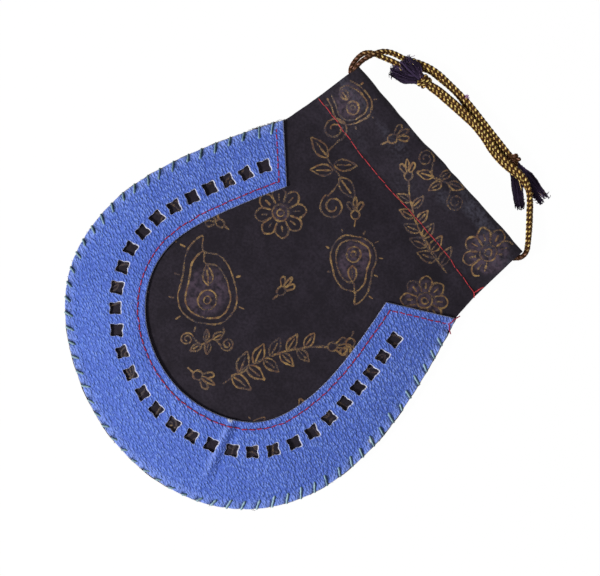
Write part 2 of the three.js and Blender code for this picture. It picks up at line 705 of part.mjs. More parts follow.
const cords = new THREE.Group();
const leftRun = casingRun(-1, UPPER_LANE, LEFT_LANE_END);
const rightRun = casingRun(1, LOWER_LANE, RIGHT_LANE_END);
cords.add(drawcord('left_drawcord', LEFT_BACK_ROUTE, LEFT_FRONT_ROUTE, leftRun));
cords.add(drawcord('right_drawcord', RIGHT_BACK_ROUTE, RIGHT_FRONT_ROUTE, rightRun));
cords.add(knot('left_knot', LEFT_KNOT));
cords.add(knot('right_knot', RIGHT_KNOT));
cords.add(tail('left_tail_1', LEFT_TAIL_1));
cords.add(tail('left_tail_2', LEFT_TAIL_2));
cords.add(tail('right_tail_1', RIGHT_TAIL_1));
cords.add(tail('right_tail_2', RIGHT_TAIL_2));
pouch.add(cords);

export default pouch;
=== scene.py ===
# A flat drawstring pouch of dark printed cloth with a punched leather band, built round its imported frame.
# All lengths are in metres. X runs across the pouch, Y from its round bottom to its mouth, Z is up.

import math

import bpy
import numpy as np
from bpy.props import FloatProperty, FloatVectorProperty, PointerProperty
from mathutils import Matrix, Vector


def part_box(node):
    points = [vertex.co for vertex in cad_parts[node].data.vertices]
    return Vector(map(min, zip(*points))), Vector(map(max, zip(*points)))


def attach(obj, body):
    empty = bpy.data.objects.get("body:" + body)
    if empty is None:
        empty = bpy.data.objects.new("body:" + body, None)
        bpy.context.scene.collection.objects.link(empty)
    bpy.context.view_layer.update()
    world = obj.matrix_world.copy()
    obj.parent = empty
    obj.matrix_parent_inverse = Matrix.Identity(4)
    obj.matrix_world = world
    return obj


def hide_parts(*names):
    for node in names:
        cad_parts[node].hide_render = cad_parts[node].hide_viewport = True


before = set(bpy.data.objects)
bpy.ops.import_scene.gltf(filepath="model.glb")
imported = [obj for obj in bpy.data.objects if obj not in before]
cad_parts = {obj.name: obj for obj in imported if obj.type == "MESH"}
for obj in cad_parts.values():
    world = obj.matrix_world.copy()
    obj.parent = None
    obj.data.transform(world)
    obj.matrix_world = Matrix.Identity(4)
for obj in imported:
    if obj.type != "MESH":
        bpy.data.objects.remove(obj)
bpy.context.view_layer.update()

bl_info = {
    "name": "Drawstring Pouch",
    "version": (1, 0, 0),
    "blender": (4, 5, 0),
    "location": "3D View > Sidebar > Pouch",
    "description": "Makes a flat cloth pouch with a laced leather band and two braided drawcords",
    "category": "Object",
}

MM = 0.001
BODY = "root"

# Outline of the pouch; rises and drops are measured from the line where it is widest
front_low, front_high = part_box("front_panel")
POUCH_HALF = (front_high.x - front_low.x) / 2
BOTTOM_DROP = 68.7 * MM
BOTTOM_SHIFT = 4 * MM
SIDE_FULLNESS = 27.7 * MM
SHOULDER_RISE = 73 * MM
SHOULDER_HALF = 54.5 * MM
SEAM_RISE = 88 * MM
MOUTH_HALF = 52 * MM
MOUTH_RISE = 112.2 * MM
MOUTH_SLOPE = 2 / 104
RIM_LEFT_CHEEK = 0.045
WIDEST_Y = front_low.y + BOTTOM_DROP
SHOULDER_Y = WIDEST_Y + SHOULDER_RISE
SEAM_Y = WIDEST_Y + SEAM_RISE

# Opening of the leather band
OPENING_LEFT = 45.3 * MM
OPENING_RIGHT = 41 * MM
OPENING_LINE = 6.7 * MM
OPENING_DROP = 40.7 * MM
OPENING_FULLNESS = 16.8 * MM
OPENING_TOP_HALF = 32.3 * MM
OPENING_TOP_RISE = 49.2 * MM
OPENING_RIGHT_CHEEK = 0.07

# Stack of sheets
CLOTH = 0.8 * MM
LEATHER = 1.2 * MM
GAP = 0.3 * MM
CROWN = 9.6 * MM
CROWN_POWER = 2.5
RIM_LIFT = 1.5 * MM
SEAM_LIFT = 1.15 * MM
LIFT_FROM = 0.78
LIFT_TO = 0.9
SEAM_RIDGE = 7 * MM

# Casing for the cords
MOUTH_OPEN = 5.6 * MM
FOLD_RADIUS = 2.1 * MM
FOLD_DEPTH = FOLD_RADIUS + CLOTH / 2
CASING_FULL = 7.2 * MM
CASING_HEIGHT = 5 * MM
SEAM_SPREAD = (CLOTH + GAP) / 2
HEM_SETBACK = 8 * MM
HEM_ALLOWANCE = 3 * MM
CORNER_CUT = 0.8 * MM
BACK_CASING_MID = 2.5 * MM
LEFT_LANE = 2.5 * MM
RIGHT_LANE = 5.5 * MM
LANE_END = {"left": 46 * MM, "right": 50 * MM}

# Rows of holes and stitches
HOLE_COUNT = 31
HOLE_ROW = np.array([10.5, 10.4, 10.8, 12.4, 12.4, 12.6, 12, 11.8, 11]) * MM
HOLE_DRIFT = np.array([0, 2.3, 3.4, 3.9, 1.1, -0.2, -0.4, -1.4, 0.2]) * MM
HOLE_ROW_START = 6.5 * MM
HOLE_ROW_END = 11 * MM
LACE_START = 6.5 * MM
LACE_PITCH = 6.4 * MM
LACE_DEPTH = 4.4 * MM
LACE_SLANT = 2 * MM
BAND_SEAM_INSET = 3.1 * MM

# How far the pouch as it lies strays from its pattern, read at even steps along each line: the rim and
# the opening outward, the casing's two ends to the right, and the mouth upward
RIM_DRIFT = MM * np.array(
    [-0.4, -0.6, -0.5, -0.4, 0.4, 0.9, 0.4, 0.2, 0.5, 0.4, 1.3, 0.9, 0, 0.6, 1.1, 1.3, 2.2]
)
OPENING_DRIFT = MM * np.array([-0.8, -1.2, -0.9, -0.4, -0.3, -0.6, -0.7, -0.4, -0.2, 0.1, 0.5, 0, -0.5])
END_DRIFT = {
    "left": MM * np.array([0.4, 0.8, 1.1, 1.3, 1.1]),
    "right": MM * np.array([2.2, 1.3, 1.2, 1, 1]),
}
MOUTH_DRIFT = MM * np.array([0, -0.3, -0.7, -1.4, -1.6, -0.8, -0.6, -0.6, -0.5, 0, 0.1])
MOUTH_DRIFT_RUN = 2 * MOUTH_HALF - 8 * MM

# Free runs of the cords, from where they leave the casing to their knot
ROUTES = {
    "left_front": [
        (-0.0492, 0.0866, 0.0084), (-0.0507, 0.0882, 0.0083), (-0.0513, 0.0906, 0.008),
        (-0.0514, 0.0932, 0.0072), (-0.051, 0.0961, 0.0063), (-0.0504, 0.099, 0.0052),
        (-0.0493, 0.1018, 0.0039), (-0.0475, 0.104, 0.0026), (-0.0452, 0.1056, 0.0018),
        (-0.0426, 0.1068, 0.00135), (-0.0404, 0.1079, 0.00135), (-0.0359, 0.1108, 0.0021),
        (-0.0312, 0.1128, 0.0035), (-0.0262, 0.1141, 0.0038), (-0.0206, 0.1147, 0.0038),
        (-0.0149, 0.1152, 0.0039), (-0.0086, 0.1155, 0.0041), (-0.0008, 0.1152, 0.00415),
        (0.0059, 0.1149, 0.00415), (0.0131, 0.1146, 0.00425), (0.0183, 0.1144, 0.0043),
    ],
    "left_back": [
        (-0.0496, 0.0856, 0.0025), (-0.0517, 0.0866, 0.0024), (-0.0531, 0.0886, 0.0022),
        (-0.0539, 0.0912, 0.0019), (-0.0542, 0.0938, 0.0016), (-0.0537, 0.0964, 0.0014),
        (-0.0517, 0.0987, 0.00135), (-0.0482, 0.1006, 0.00135), (-0.0442, 0.1026, 0.00135),
        (-0.0407, 0.1042, 0.00135), (-0.0386, 0.1056, 0.00135), (-0.0344, 0.1092, 0.00135),
        (-0.0302, 0.1121, 0.00135), (-0.0256, 0.1132, 0.00135), (-0.02, 0.1142, 0.00135),
        (-0.0149, 0.1147, 0.00135), (-0.0086, 0.1144, 0.00135), (-0.0008, 0.1139, 0.00135),
        (0.0059, 0.1137, 0.00135), (0.0131, 0.1136, 0.00145), (0.0183, 0.1137, 0.0016),
    ],
    "right_front": [
        (0.0532, 0.0878, 0.0079), (0.0546, 0.0905, 0.0074), (0.054, 0.0934, 0.0068),
        (0.0519, 0.096, 0.0061), (0.0488, 0.0992, 0.0051), (0.0456, 0.1023, 0.0044),
        (0.0424, 0.1052, 0.0042), (0.0394, 0.1079, 0.0045), (0.036, 0.1103, 0.0052),
        (0.032, 0.1121, 0.0059), (0.0274, 0.1124, 0.0063), (0.022, 0.1115, 0.0062),
        (0.017, 0.1112, 0.0054), (0.012, 0.1117, 0.0045), (0.0062, 0.1124, 0.00415),
        (-0.0004, 0.1125, 0.00415), (-0.005, 0.1122, 0.004), (-0.0103, 0.1117, 0.0035),
        (-0.0158, 0.1109, 0.0033), (-0.0207, 0.1101, 0.0031), (-0.0241, 0.1091, 0.0031),
    ],
    "right_back": [
        (0.0532, 0.0876, 0.002), (0.055, 0.0903, 0.0016), (0.0548, 0.0934, 0.0014),
        (0.0527, 0.0962, 0.00135), (0.0496, 0.0996, 0.00135), (0.0464, 0.1028, 0.00135),
        (0.0432, 0.1057, 0.00135), (0.0402, 0.1083, 0.0016), (0.0366, 0.1105, 0.0023),
        (0.0322, 0.1117, 0.0032), (0.0274, 0.1113, 0.0036), (0.022, 0.1102, 0.0034),
        (0.017, 0.1099, 0.0024), (0.012, 0.1102, 0.0015), (0.0062, 0.1111, 0.00135),
        (-0.0004, 0.1113, 0.00135), (-0.005, 0.1108, 0.00135), (-0.0103, 0.1101, 0.00135),
        (-0.0158, 0.1093, 0.00135), (-0.0207, 0.1086, 0.00135), (-0.0241, 0.1078, 0.0016),
    ],
}

# Frayed ends: root and tip, half the width that they fan out to, and how purple they are
TAILS = {
    "left_tail_1": ((0.0252, 0.1122, 0.0012), (0.0394, 0.1034, 0.0012), 2.0 * MM, 0.1),
    "left_tail_2": ((0.0258, 0.1142, 0.0012), (0.0434, 0.1136, 0.0012), 2.6 * MM, 0.8),
    "right_tail_1": ((-0.0313, 0.1072, 0.004), (-0.0409, 0.107, 0.0036), 3.2 * MM, 0.9),
    "right_tail_2": ((-0.0307, 0.1058, 0.0018), (-0.0416, 0.1002, 0.0012), 2.5 * MM, 0.5),
}

# The photograph's view: straight down, turned about the upright axis
VIEW_TURN = math.radians(49.5)
VIEW_CENTRE = (0.0041, 0.0108)
VIEW_WIDTH = 0.2514
VIEW_LENS = 85
VIEW_SENSOR = 36
SUBJECT_HEIGHT = 0.008

# Light: an even room, and a lamp towards the picture's lower left
ROOM_STRENGTH = 0.47
LAMP_LEFT = 1.3
LAMP_DOWN = 0.5
LAMP_HEIGHT = 1.2
LAMP_SIZE = 0.3
LAMP_POWER = 32
FLOOR_SIZE = 6
FLOOR_GLOW = 0.98


# Sizes and colours that a user would change

def length(name, description, default):
    return FloatProperty(name=name, description=description, default=default, unit="LENGTH", precision=5)


def colour(name, description, default):
    return FloatVectorProperty(name=name, description=description, default=default, size=3, subtype="COLOR")


class PouchSizes(bpy.types.PropertyGroup):
    """Sizes of the pouch's fine detail."""

    hole_size: length("Hole size", "Distance between opposite points of a punched hole", 7.3 * MM)
    hole_waist: length("Hole waist", "Distance between the dents in opposite sides of a hole", 4.5 * MM)
    cut_edge: length("Cut edge", "Width of the pale bevel on cut leather", 0.28 * MM)
    lace: length("Lacing thread", "Thickness of the thread whipped round the rim", 1.2 * MM)
    band_stitch: length("Band stitch", "Length of a machine stitch on the leather", 3.1 * MM)
    casing_stitch: length("Casing stitch", "Length of a machine stitch on the casing", 4.6 * MM)
    sewing_thread: length("Sewing thread", "Thickness of the machine thread", 0.55 * MM)
    cord: length("Cord", "Thickness of the braided drawcord", 2.35 * MM)
    braid_pitch: length("Braid pitch", "Length in which a yarn goes once round the braid", 8.2 * MM)
    print_line: length("Print line", "Width of a printed line", 0.8 * MM)


class PouchColours(bpy.types.PropertyGroup):
    """Colours of the pouch's materials."""

    leather: colour("Leather", "Main colour of the leather", (0.102, 0.192, 0.65))
    # The valley and peak colours follow the grain's height: partly the grain's own tone, partly painted shade
    # in its folds and a painted highlight on its tops
    leather_valley_tone_and_shade: colour("Leather valleys", "Colour in the folds of the grain", (0.054, 0.114, 0.5))
    leather_peak_tone_and_highlight: colour("Leather peaks", "Colour on top of the grain", (0.31, 0.43, 0.89))
    # The rubbed colour is partly real rubbing and partly a painted highlight on the puffs between stitches
    # and on the fold's side that faces the lamp
    leather_rubbed_and_highlight: colour("Rubbed leather", "Colour of the leather on its worn rim", (0.25, 0.36, 0.86))
    # The groove colour is painted shade beside each lacing stitch
    leather_groove_shade: colour("Leather grooves", "Colour in the grooves by the lacing", (0.018, 0.035, 0.13))
    cut_edge: colour("Cut leather", "Colour of cut leather edges", (0.8, 0.8, 0.86))
    cloth: colour("Cloth", "Main colour of the cloth", (0.0125, 0.0095, 0.0145))
    cloth_mottle: colour("Cloth mottling", "Faded colour of the cloth", (0.024, 0.0185, 0.028))
    # The rubbed cloth colour is partly wear and partly a painted sheen in streaks near the mouth
    cloth_rubbed_and_sheen: colour("Rubbed cloth", "Colour of the cloth worn near the mouth", (0.054, 0.052, 0.072))
    print_field: colour("Print fields", "Colour of the dim fields under the print", (0.06, 0.041, 0.06))
    print_gold: colour("Print gold", "Bright colour of the printed lines", (0.29, 0.176, 0.06))
    print_rust: colour("Print rust", "Dull colour of the printed lines", (0.12, 0.056, 0.028))
    lacing: colour("Lacing", "Colour of the lacing thread", (0.04, 0.088, 0.115))
    # The pale lacing colour is painted light on the side of the thread that faces the lamp; the lacing colour
    # on its other side stands as painted shade
    lacing_lit_side: colour("Pale lacing", "Colour of the pale ply of the lacing", (0.33, 0.49, 0.58))
    band_thread: colour("Band thread", "Colour of the stitches on the leather", (0.4, 0.014, 0.06))
    # The stitch-end colour is painted shade where each band stitch sinks into its needle hole
    stitch_end_shade: colour("Stitch ends", "Colour of a band stitch where it goes in", (0.022, 0.004, 0.024))
    casing_thread: colour("Casing thread", "Colour of the stitches on the casing", (0.52, 0.04, 0.052))
    side_thread: colour("Side thread", "Colour of the hidden side seams", (0.016, 0.014, 0.02))
    braid_dark: colour("Braid dark", "Colour of the dark yarns", (0.07, 0.028, 0.01))
    braid_gold: colour("Braid gold", "Colour of the metallic yarns", (1.0, 0.76, 0.23))
    braid_tarnish: colour("Braid tarnish", "Colour of tarnished foil", (0.6, 0.24, 0.035))
    braid_copper: colour("Braid copper", "Colour of foil worn to copper", (0.34, 0.17, 0.12))
    fray: colour("Fray", "Colour of the frayed threads", (0.02, 0.013, 0.028))
    fray_purple: colour("Fray purple", "Colour of the purple threads", (0.085, 0.055, 0.125))
    fray_pale: colour("Fray pale", "Colour of the palest threads", (0.42, 0.24, 0.4))


def sizes():
    return bpy.context.scene.pouch_sizes


def colours():
    return bpy.context.scene.pouch_colours


# Numbers on arrays

def mix(first, second, share):
    return first + (second - first) * share


def ease(value, low, high):
    """0 below low, 1 above high, and a smooth step between them."""
    share = np.clip((value - low) / (high - low), 0, 1)
    return share * share * (3 - 2 * share)


def unit(vectors):
    return vectors / np.linalg.norm(vectors, axis=-1, keepdims=True)


def hump(distance, breadth):
    """A smooth bump, 1 at a distance of 0."""
    return np.exp(-((distance / breadth) ** 2))


def lattice(column, row, seed):
    """A fixed number from 0 to 1 for each crossing of a grid; the large numbers only scatter the bits."""
    key = (column.astype(np.int64) * 73856093) ^ (row.astype(np.int64) * 19349663) ^ (seed * 83492791)
    key = (key ^ (key >> 13)) * 1274126177
    return ((key ^ (key >> 16)) & 0xFFFF) / 0xFFFF


def ripple(x, y, size, seed):
    """Smooth bumps of a given size, from -1 to 1."""
    column, row = np.floor(x / size), np.floor(y / size)
    across, up = ease(x / size - column, 0, 1), ease(y / size - row, 0, 1)
    low = mix(lattice(column, row, seed), lattice(column + 1, row, seed), across)
    high = mix(lattice(column, row + 1, seed), lattice(column + 1, row + 1, seed), across)
    return 2 * mix(low, high, up) - 1


def ripple_along(distance, size, seed):
    """Smooth bumps along a line."""
    return ripple(distance, 0 * distance, size, seed)


def spin(angle):
    """A turn from the first axis to the second, to multiply rows of flat points by."""
    return np.array([[math.cos(angle), math.sin(angle)], [-math.sin(angle), math.cos(angle)]])


# Lines

class Horseshoe:
    """A line down the left side from its horn, round the bottom and up the right side."""

    def __init__(self, left, right, cheeks, line, drop, shift, fullness, horn_half, horn_rise):
        self.left, self.right, self.cheeks = left, right, cheeks
        self.line, self.drop, self.shift = line, drop, shift
        self.fullness, self.horn_half, self.horn_rise = fullness, horn_half, horn_rise

    def points(self, share):
        along = 3 * np.asarray(share)
        half = np.where(along < 1.5, self.left, self.right)
        climb = np.clip(np.where(along < 1.5, 1 - along, along - 2), 0, 1)
        side_x = np.where(along < 1.5, -1, 1) * mix(half, self.horn_half, climb**2)
        side_y = 2 * climb * (1 - climb) * self.fullness + climb**2 * self.horn_rise
        turn = np.clip(along - 1, 0, 1) * math.pi
        fuller = 1 + np.where(along < 1.5, *self.cheeks) * np.sin(2 * turn) ** 2
        bottom_x = self.shift * np.sin(turn) - half * fuller * np.cos(turn)
        bottom_y = -self.drop * np.sin(turn)
        on_side = (along < 1) | (along > 2)
        x = np.where(on_side, side_x, bottom_x)
        y = self.line + np.where(on_side, side_y, bottom_y)
        return np.stack([x, y], -1)


class Track:
    """A line that is read by the distance along it."""

    def __init__(self, points):
        self.points = np.asarray(points, float)
        steps = np.linalg.norm(np.diff(self.points, axis=0), axis=1)
        self.along = np.concatenate([[0], np.cumsum(steps)])
        self.length = self.along[-1]

    def at(self, distance):
        return np.stack([np.interp(distance, self.along, axis) for axis in self.points.T], -1)

    def direction(self, distance):
        ahead = np.minimum(distance + 0.2 * MM, self.length)
        behind = np.maximum(distance - 0.2 * MM, 0)
        return unit(self.at(ahead) - self.at(behind))

    def outside(self, distance):
        """The line at a distance to the right of this one, the same or one for each point."""
        distance = np.broadcast_to(distance, len(self.points))
        return Track(self.points + distance[:, None] * right_of(self.direction(self.along)))


def right_of(direction):
    return np.stack([direction[..., 1], -direction[..., 0]], -1)


def smooth_path(points, spacing):
    """A smooth curve through points, in even steps."""
    points = np.asarray(points, float)
    padded = np.vstack([2 * points[0] - points[1], points, 2 * points[-1] - points[-2]])
    share = np.linspace(0, 1, 12, endpoint=False)[:, None]
    runs = []
    for before, start, end, after in zip(padded, padded[1:], padded[2:], padded[3:]):
        lead = 2 * before - 5 * start + 4 * end - after
        bend = 3 * start - before - 3 * end + after
        runs.append(start + 0.5 * share * (end - before + share * (lead + share * bend)))
    track = Track(np.vstack(runs + [points[-1:]]))
    return track.at(np.linspace(0, track.length, max(2, round(track.length / spacing) + 1)))


def read_even(values, share):
    """A list read at a share of its length, with its corners rounded off."""
    steps = np.linspace(0, 1, len(values))
    near = [np.interp(share + shift / len(values), steps, values) for shift in (-0.5, -0.25, 0, 0.25, 0.5)]
    return np.mean(near, axis=0)


def strayed(pattern, drift):
    return pattern.outside(read_even(drift, pattern.along / pattern.length))


SHARES = np.linspace(0, 1, 6001)
RIM = Horseshoe(
    POUCH_HALF, POUCH_HALF, (RIM_LEFT_CHEEK, 0), WIDEST_Y, BOTTOM_DROP, BOTTOM_SHIFT, SIDE_FULLNESS,
    SHOULDER_HALF, SHOULDER_RISE,
)
OPENING = Horseshoe(
    OPENING_LEFT, OPENING_RIGHT, (0, OPENING_RIGHT_CHEEK), WIDEST_Y + OPENING_LINE, OPENING_DROP, 0,
    OPENING_FULLNESS, OPENING_TOP_HALF, OPENING_TOP_RISE,
)
OPENING_PATTERN = Track(OPENING.points(SHARES))
RIM_TRACK = strayed(Track(RIM.points(SHARES)), RIM_DRIFT)
OPENING_TRACK = strayed(OPENING_PATTERN, OPENING_DRIFT)
RIM_POINTS, OPENING_POINTS = RIM_TRACK.points, OPENING_TRACK.points
HOLE_TRACK = OPENING_PATTERN.outside(np.interp(SHARES, np.linspace(0, 1, len(HOLE_ROW)), HOLE_ROW))
LACE_PLACES = np.arange(LACE_START, RIM_TRACK.length - LACE_START, LACE_PITCH)


# Heights of the sheets

def half_width(y):
    rise = np.maximum(y - WIDEST_Y, 0)
    bend = SHOULDER_RISE - 2 * SIDE_FULLNESS
    climb = rise / (SIDE_FULLNESS + np.sqrt(SIDE_FULLNESS**2 + bend * np.minimum(rise, SHOULDER_RISE)))
    shoulder = mix(POUCH_HALF, SHOULDER_HALF, climb**2)
    above = (rise - SHOULDER_RISE) / (MOUTH_RISE - SHOULDER_RISE)
    return np.where(rise > SHOULDER_RISE, mix(SHOULDER_HALF, MOUTH_HALF, above), shoulder)


def edge_share(x, y):
    """0 in the middle of the pouch, 1 on its edge."""
    depth = (WIDEST_Y - y) / BOTTOM_DROP
    below = np.hypot((x - BOTTOM_SHIFT * depth) / POUCH_HALF, depth)
    return np.minimum(1, np.where(y >= WIDEST_Y, np.abs(x) / half_width(y), below))


def end_drift(y, side):
    share = (y - SHOULDER_Y) / (WIDEST_Y + MOUTH_RISE - SHOULDER_Y)
    return read_even(END_DRIFT[side], np.clip(share, 0, 1))


def mouth_line(x):
    drift = read_even(MOUTH_DRIFT, 0.5 + x / MOUTH_DRIFT_RUN)
    return WIDEST_Y + MOUTH_RISE + MOUTH_SLOPE * x + drift


def mouth_top(x):
    wave = 0.3 * MM * ripple_along(x, 9 * MM, 5) + 0.18 * MM * ripple_along(x, 4 * MM, 6)
    return mouth_line(x) + wave


def casing_mid(x):
    return 1.5 * CASING_HEIGHT + GAP + MOUTH_OPEN * (1 - np.minimum(1, np.abs(x) / MOUTH_HALF) ** 2)


def rim_lift(y):
    return RIM_LIFT * (1 - ease(y, SHOULDER_Y, SEAM_Y))


def seam_lift(y):
    return SEAM_LIFT * (1 - ease(np.abs(y - SEAM_Y), 0, SEAM_RIDGE))


def back_under(x, y):
    return rim_lift(y) * ease(edge_share(x, y), LIFT_FROM, LIFT_TO) + seam_lift(y)


def front_top(x, y):
    crown = CROWN * (1 - edge_share(x, y) ** CROWN_POWER)
    return rim_lift(y) + seam_lift(y) + 2 * CLOTH + GAP + crown


def leather_top(x, y):
    return front_top(x, y) + GAP + LEATHER


def casing_swell(x, y):
    """0 at the casing seam, 1 where the casing is full."""
    return ease(y, SEAM_Y, mouth_top(x) - CASING_FULL)


def casing_height(x, y):
    """Outer face of the front casing, from its seam to the fold at the mouth."""
    fold = mouth_top(x) - FOLD_DEPTH
    swell = casing_swell(x, y)
    middle = mix(front_top(x, SEAM_Y) - CLOTH / 2 - SEAM_SPREAD, casing_mid(x), swell)
    over = np.clip((y - fold) / FOLD_DEPTH, 0, 1)
    roll = FOLD_DEPTH * (1 - np.sqrt(1 - over**2))
    return middle + mix(SEAM_SPREAD, FOLD_RADIUS, swell) + CLOTH / 2 - roll


def band_outline():
    """The leather band's outline as a closed ring of points."""
    return np.vstack([OPENING_POINTS[::40], RIM_POINTS[::-24]])


def inside_ring(x, y, ring):
    """True where a place lies inside a closed ring of points."""
    inside = np.zeros(np.shape(x), bool)
    for (x0, y0), (x1, y1) in zip(ring, np.roll(ring, -1, axis=0)):
        if y0 != y1:
            crossing = x0 + (y - y0) * (x1 - x0) / (y1 - y0)
            inside ^= ((y0 > y) != (y1 > y)) & (x < crossing)
    return inside


def ring_distance(x, y, ring):
    """Distance to the nearest point of a closed ring."""
    track = Track(np.vstack([ring, ring[:1]]))
    marks = track.at(np.arange(0, track.length, 1.5 * MM))
    nearest = np.full(np.shape(x), np.inf)
    for mark_x, mark_y in marks:
        nearest = np.minimum(nearest, np.hypot(x - mark_x, y - mark_y))
    return nearest


def cloth_relief(x, y):
    """Slack of the front cloth: soft waves where no leather lies on it, and a groove at the casing seam."""
    ring = band_outline()
    free = np.where(inside_ring(x, y, ring), 0, ease(ring_distance(x, y, ring), 1 * MM, 8 * MM))
    waves = 0.5 * ripple(x + 0.6 * y, y, 21 * MM, 1) + 0.22 * ripple(x, y - 0.5 * x, 8 * MM, 2)
    from_seam = np.abs(y - SEAM_Y)
    groove = -0.55 * hump(from_seam, 1.2 * MM)
    pucker = 0.16 * ripple_along(x, 2.6 * MM, 3) * np.exp(-from_seam / (3 * MM))
    return MM * (free * (waves + pucker) + groove)


def front_surface(x, y):
    """Outer face of the front cloth, slack and casing included."""
    return np.where(y > SEAM_Y, casing_height(x, y), front_top(x, y)) + cloth_relief(x, y)


# Meshes

# Sides of the tubes that stand for threads, and how far a twisted thread dips between its plies
YARN_SIDES = 6
STITCH_SIDES = 7
LACE_SIDES = 8
HAIR_SIDES = 5
PLY_DIP = 0.26


class Parts:
    """Points, faces and point values of one mesh, gathered piece by piece."""

    def __init__(self):
        self.points, self.faces, self.values, self.count = [], [], {}, 0

    def add(self, points, faces, **values):
        points = np.asarray(points, float).reshape(-1, 3)
        self.points.append(points)
        self.faces.extend([[corner + self.count for corner in face] for face in faces])
        for name, value in values.items():
            self.values.setdefault(name, []).append(np.broadcast_to(value, len(points)))
        self.count += len(points)

    def build(self, name, material, slot, *nodes):
        """One object of everything gathered, on the pouch's body, in place of the named nodes."""
        mesh = bpy.data.meshes.new(name)
        mesh.from_pydata(np.vstack(self.points).tolist(), [], self.faces)
        for key, value in self.values.items():
            attribute = mesh.attributes.new(key, "FLOAT", "POINT")
            attribute.data.foreach_set("value", np.concatenate(value).astype(np.float32))
        mesh.materials.append(material)
        piece = bpy.data.objects.new(name, mesh)
        bpy.context.scene.collection.objects.link(piece)
        bpy.ops.object.select_all(action="DESELECT")
        piece.select_set(True)
        bpy.context.view_layer.objects.active = piece
        bpy.ops.object.shade_smooth_by_angle(angle=math.radians(50))
        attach(piece, BODY)
        if nodes:
            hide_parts(*nodes)
        return piece


def grid_faces(rows, columns):
    index = np.arange(rows * columns).reshape(rows, columns)
    return np.stack([index[:-1, :-1], index[:-1, 1:], index[1:, 1:], index[1:, :-1]], -1).reshape(-1, 4)


def thick_sheet(upper, lower, faces):
    """Points and faces of a closed sheet between two layers that share their faces."""
    count = len(upper)
    edges = np.concatenate([faces[:, [i, (i + 1) % 4]] for i in range(4)])
    known = {(a, b) for a, b in edges.tolist()}
    walls = [(b, a, a + count, b + count) for a, b in known if (b, a) not in known]
    under = faces[:, ::-1] + count
    return np.vstack([upper, lower]), faces.tolist() + under.tolist() + walls


def carried_normals(points, first):
    """A sideways direction along a line that turns no more than the line does."""
    tangents = unit(np.gradient(points, axis=0))
    normals = np.empty_like(points)
    normal = np.asarray(first, float)
    for i, tangent in enumerate(tangents):
        normal = normal - tangent * normal.dot(tangent)
        normal = normal / np.linalg.norm(normal)
        normals[i] = normal
    return normals


def swept(points, normals, thickness, width, sides, ply_turn=None):
    """Points and faces of a closed tube along points; a ply turn gives it two twisted plies."""
    tangents = unit(np.gradient(points, axis=0))
    normals = unit(normals - tangents * (normals * tangents).sum(1, keepdims=True))
    across = np.cross(tangents, normals)
    angle = np.linspace(0, 2 * math.pi, sides, endpoint=False)
    size = np.ones((len(points), sides))
    if ply_turn is not None:
        along = Track(points).along[:, None]
        size = 1 - PLY_DIP + PLY_DIP * np.abs(np.cos(angle[None, :] - along * math.pi / ply_turn))
    high = np.broadcast_to(thickness, len(points))[:, None] / 2 * np.sin(angle) * size
    wide = np.broadcast_to(width, len(points))[:, None] / 2 * np.cos(angle) * size
    rings = points[:, None] + high[..., None] * normals[:, None] + wide[..., None] * across[:, None]
    index = np.arange(len(points) * sides).reshape(len(points), sides)
    following = np.roll(index, -1, axis=1)
    walls = np.stack([index[:-1], index[1:], following[1:], following[:-1]], -1).reshape(-1, 4)
    caps = [index[0].tolist(), index[-1][::-1].tolist()]
    return rings.reshape(-1, 3), walls.tolist() + caps


def thread(points, thickness, sides, ply_turn=None):
    """A round thread, whichever way it starts."""
    start = unit(points[1] - points[0])
    first = (0, 0, 1) if abs(start[2]) < 0.7 else (1, 0, 0)
    return swept(points, carried_normals(points, first), thickness, thickness, sides, ply_turn)


# Materials

def add_node(tree, kind, inputs=None, **settings):
    """A shader node with its settings, and with each input linked or set."""
    node = tree.nodes.new("ShaderNode" + kind)
    for key, value in settings.items():
        setattr(node, key, value)
    for key, value in (inputs or {}).items():
        if isinstance(value, bpy.types.NodeSocket):
            tree.links.new(value, node.inputs[key])
        else:
            node.inputs[key].default_value = value
    return node


def opaque(rgb):
    return (*rgb, 1)


def blend_colours(tree, share, first, second):
    """Socket of a colour between two others; sockets 6 and 7 of the node take colours."""
    inputs = {0: share}
    for key, value in ((6, first), (7, second)):
        inputs[key] = value if isinstance(value, bpy.types.NodeSocket) else opaque(value)
    return add_node(tree, "Mix", inputs, data_type="RGBA").outputs[2]


def ranged(tree, value, low, high, to_low=0.0, to_high=1.0):
    """Socket of a value stretched from one range to another."""
    inputs = {"Value": value, "From Min": low, "From Max": high, "To Min": to_low, "To Max": to_high}
    return add_node(tree, "MapRange", inputs).outputs["Result"]


def arithmetic(tree, operation, first, second):
    return add_node(tree, "Math", {0: first, 1: second}, operation=operation).outputs[0]


def attribute(tree, name):
    return add_node(tree, "Attribute", attribute_name=name).outputs["Fac"]


def noise(tree, vector, scale, detail=2.0):
    return add_node(tree, "TexNoise", {"Vector": vector, "Scale": scale, "Detail": detail}).outputs["Fac"]


def object_place(tree):
    return add_node(tree, "TexCoord").outputs["Object"]


def new_group(name, inputs, outputs):
    """A shader group with its named sockets, and its input and output nodes."""
    tree = bpy.data.node_groups.new(name, "ShaderNodeTree")
    for label, kind in inputs.items():
        tree.interface.new_socket(label, in_out="INPUT", socket_type=kind)
    for label, kind in outputs.items():
        tree.interface.new_socket(label, in_out="OUTPUT", socket_type=kind)
    return tree, tree.nodes.new("NodeGroupInput"), tree.nodes.new("NodeGroupOutput")


def shared_group(tree, name, make, inputs):
    """A node of a shader group, which is made the first time that it is asked for."""
    group = bpy.data.node_groups.get(name) or make(name)
    return add_node(tree, "Group", inputs, node_tree=group)


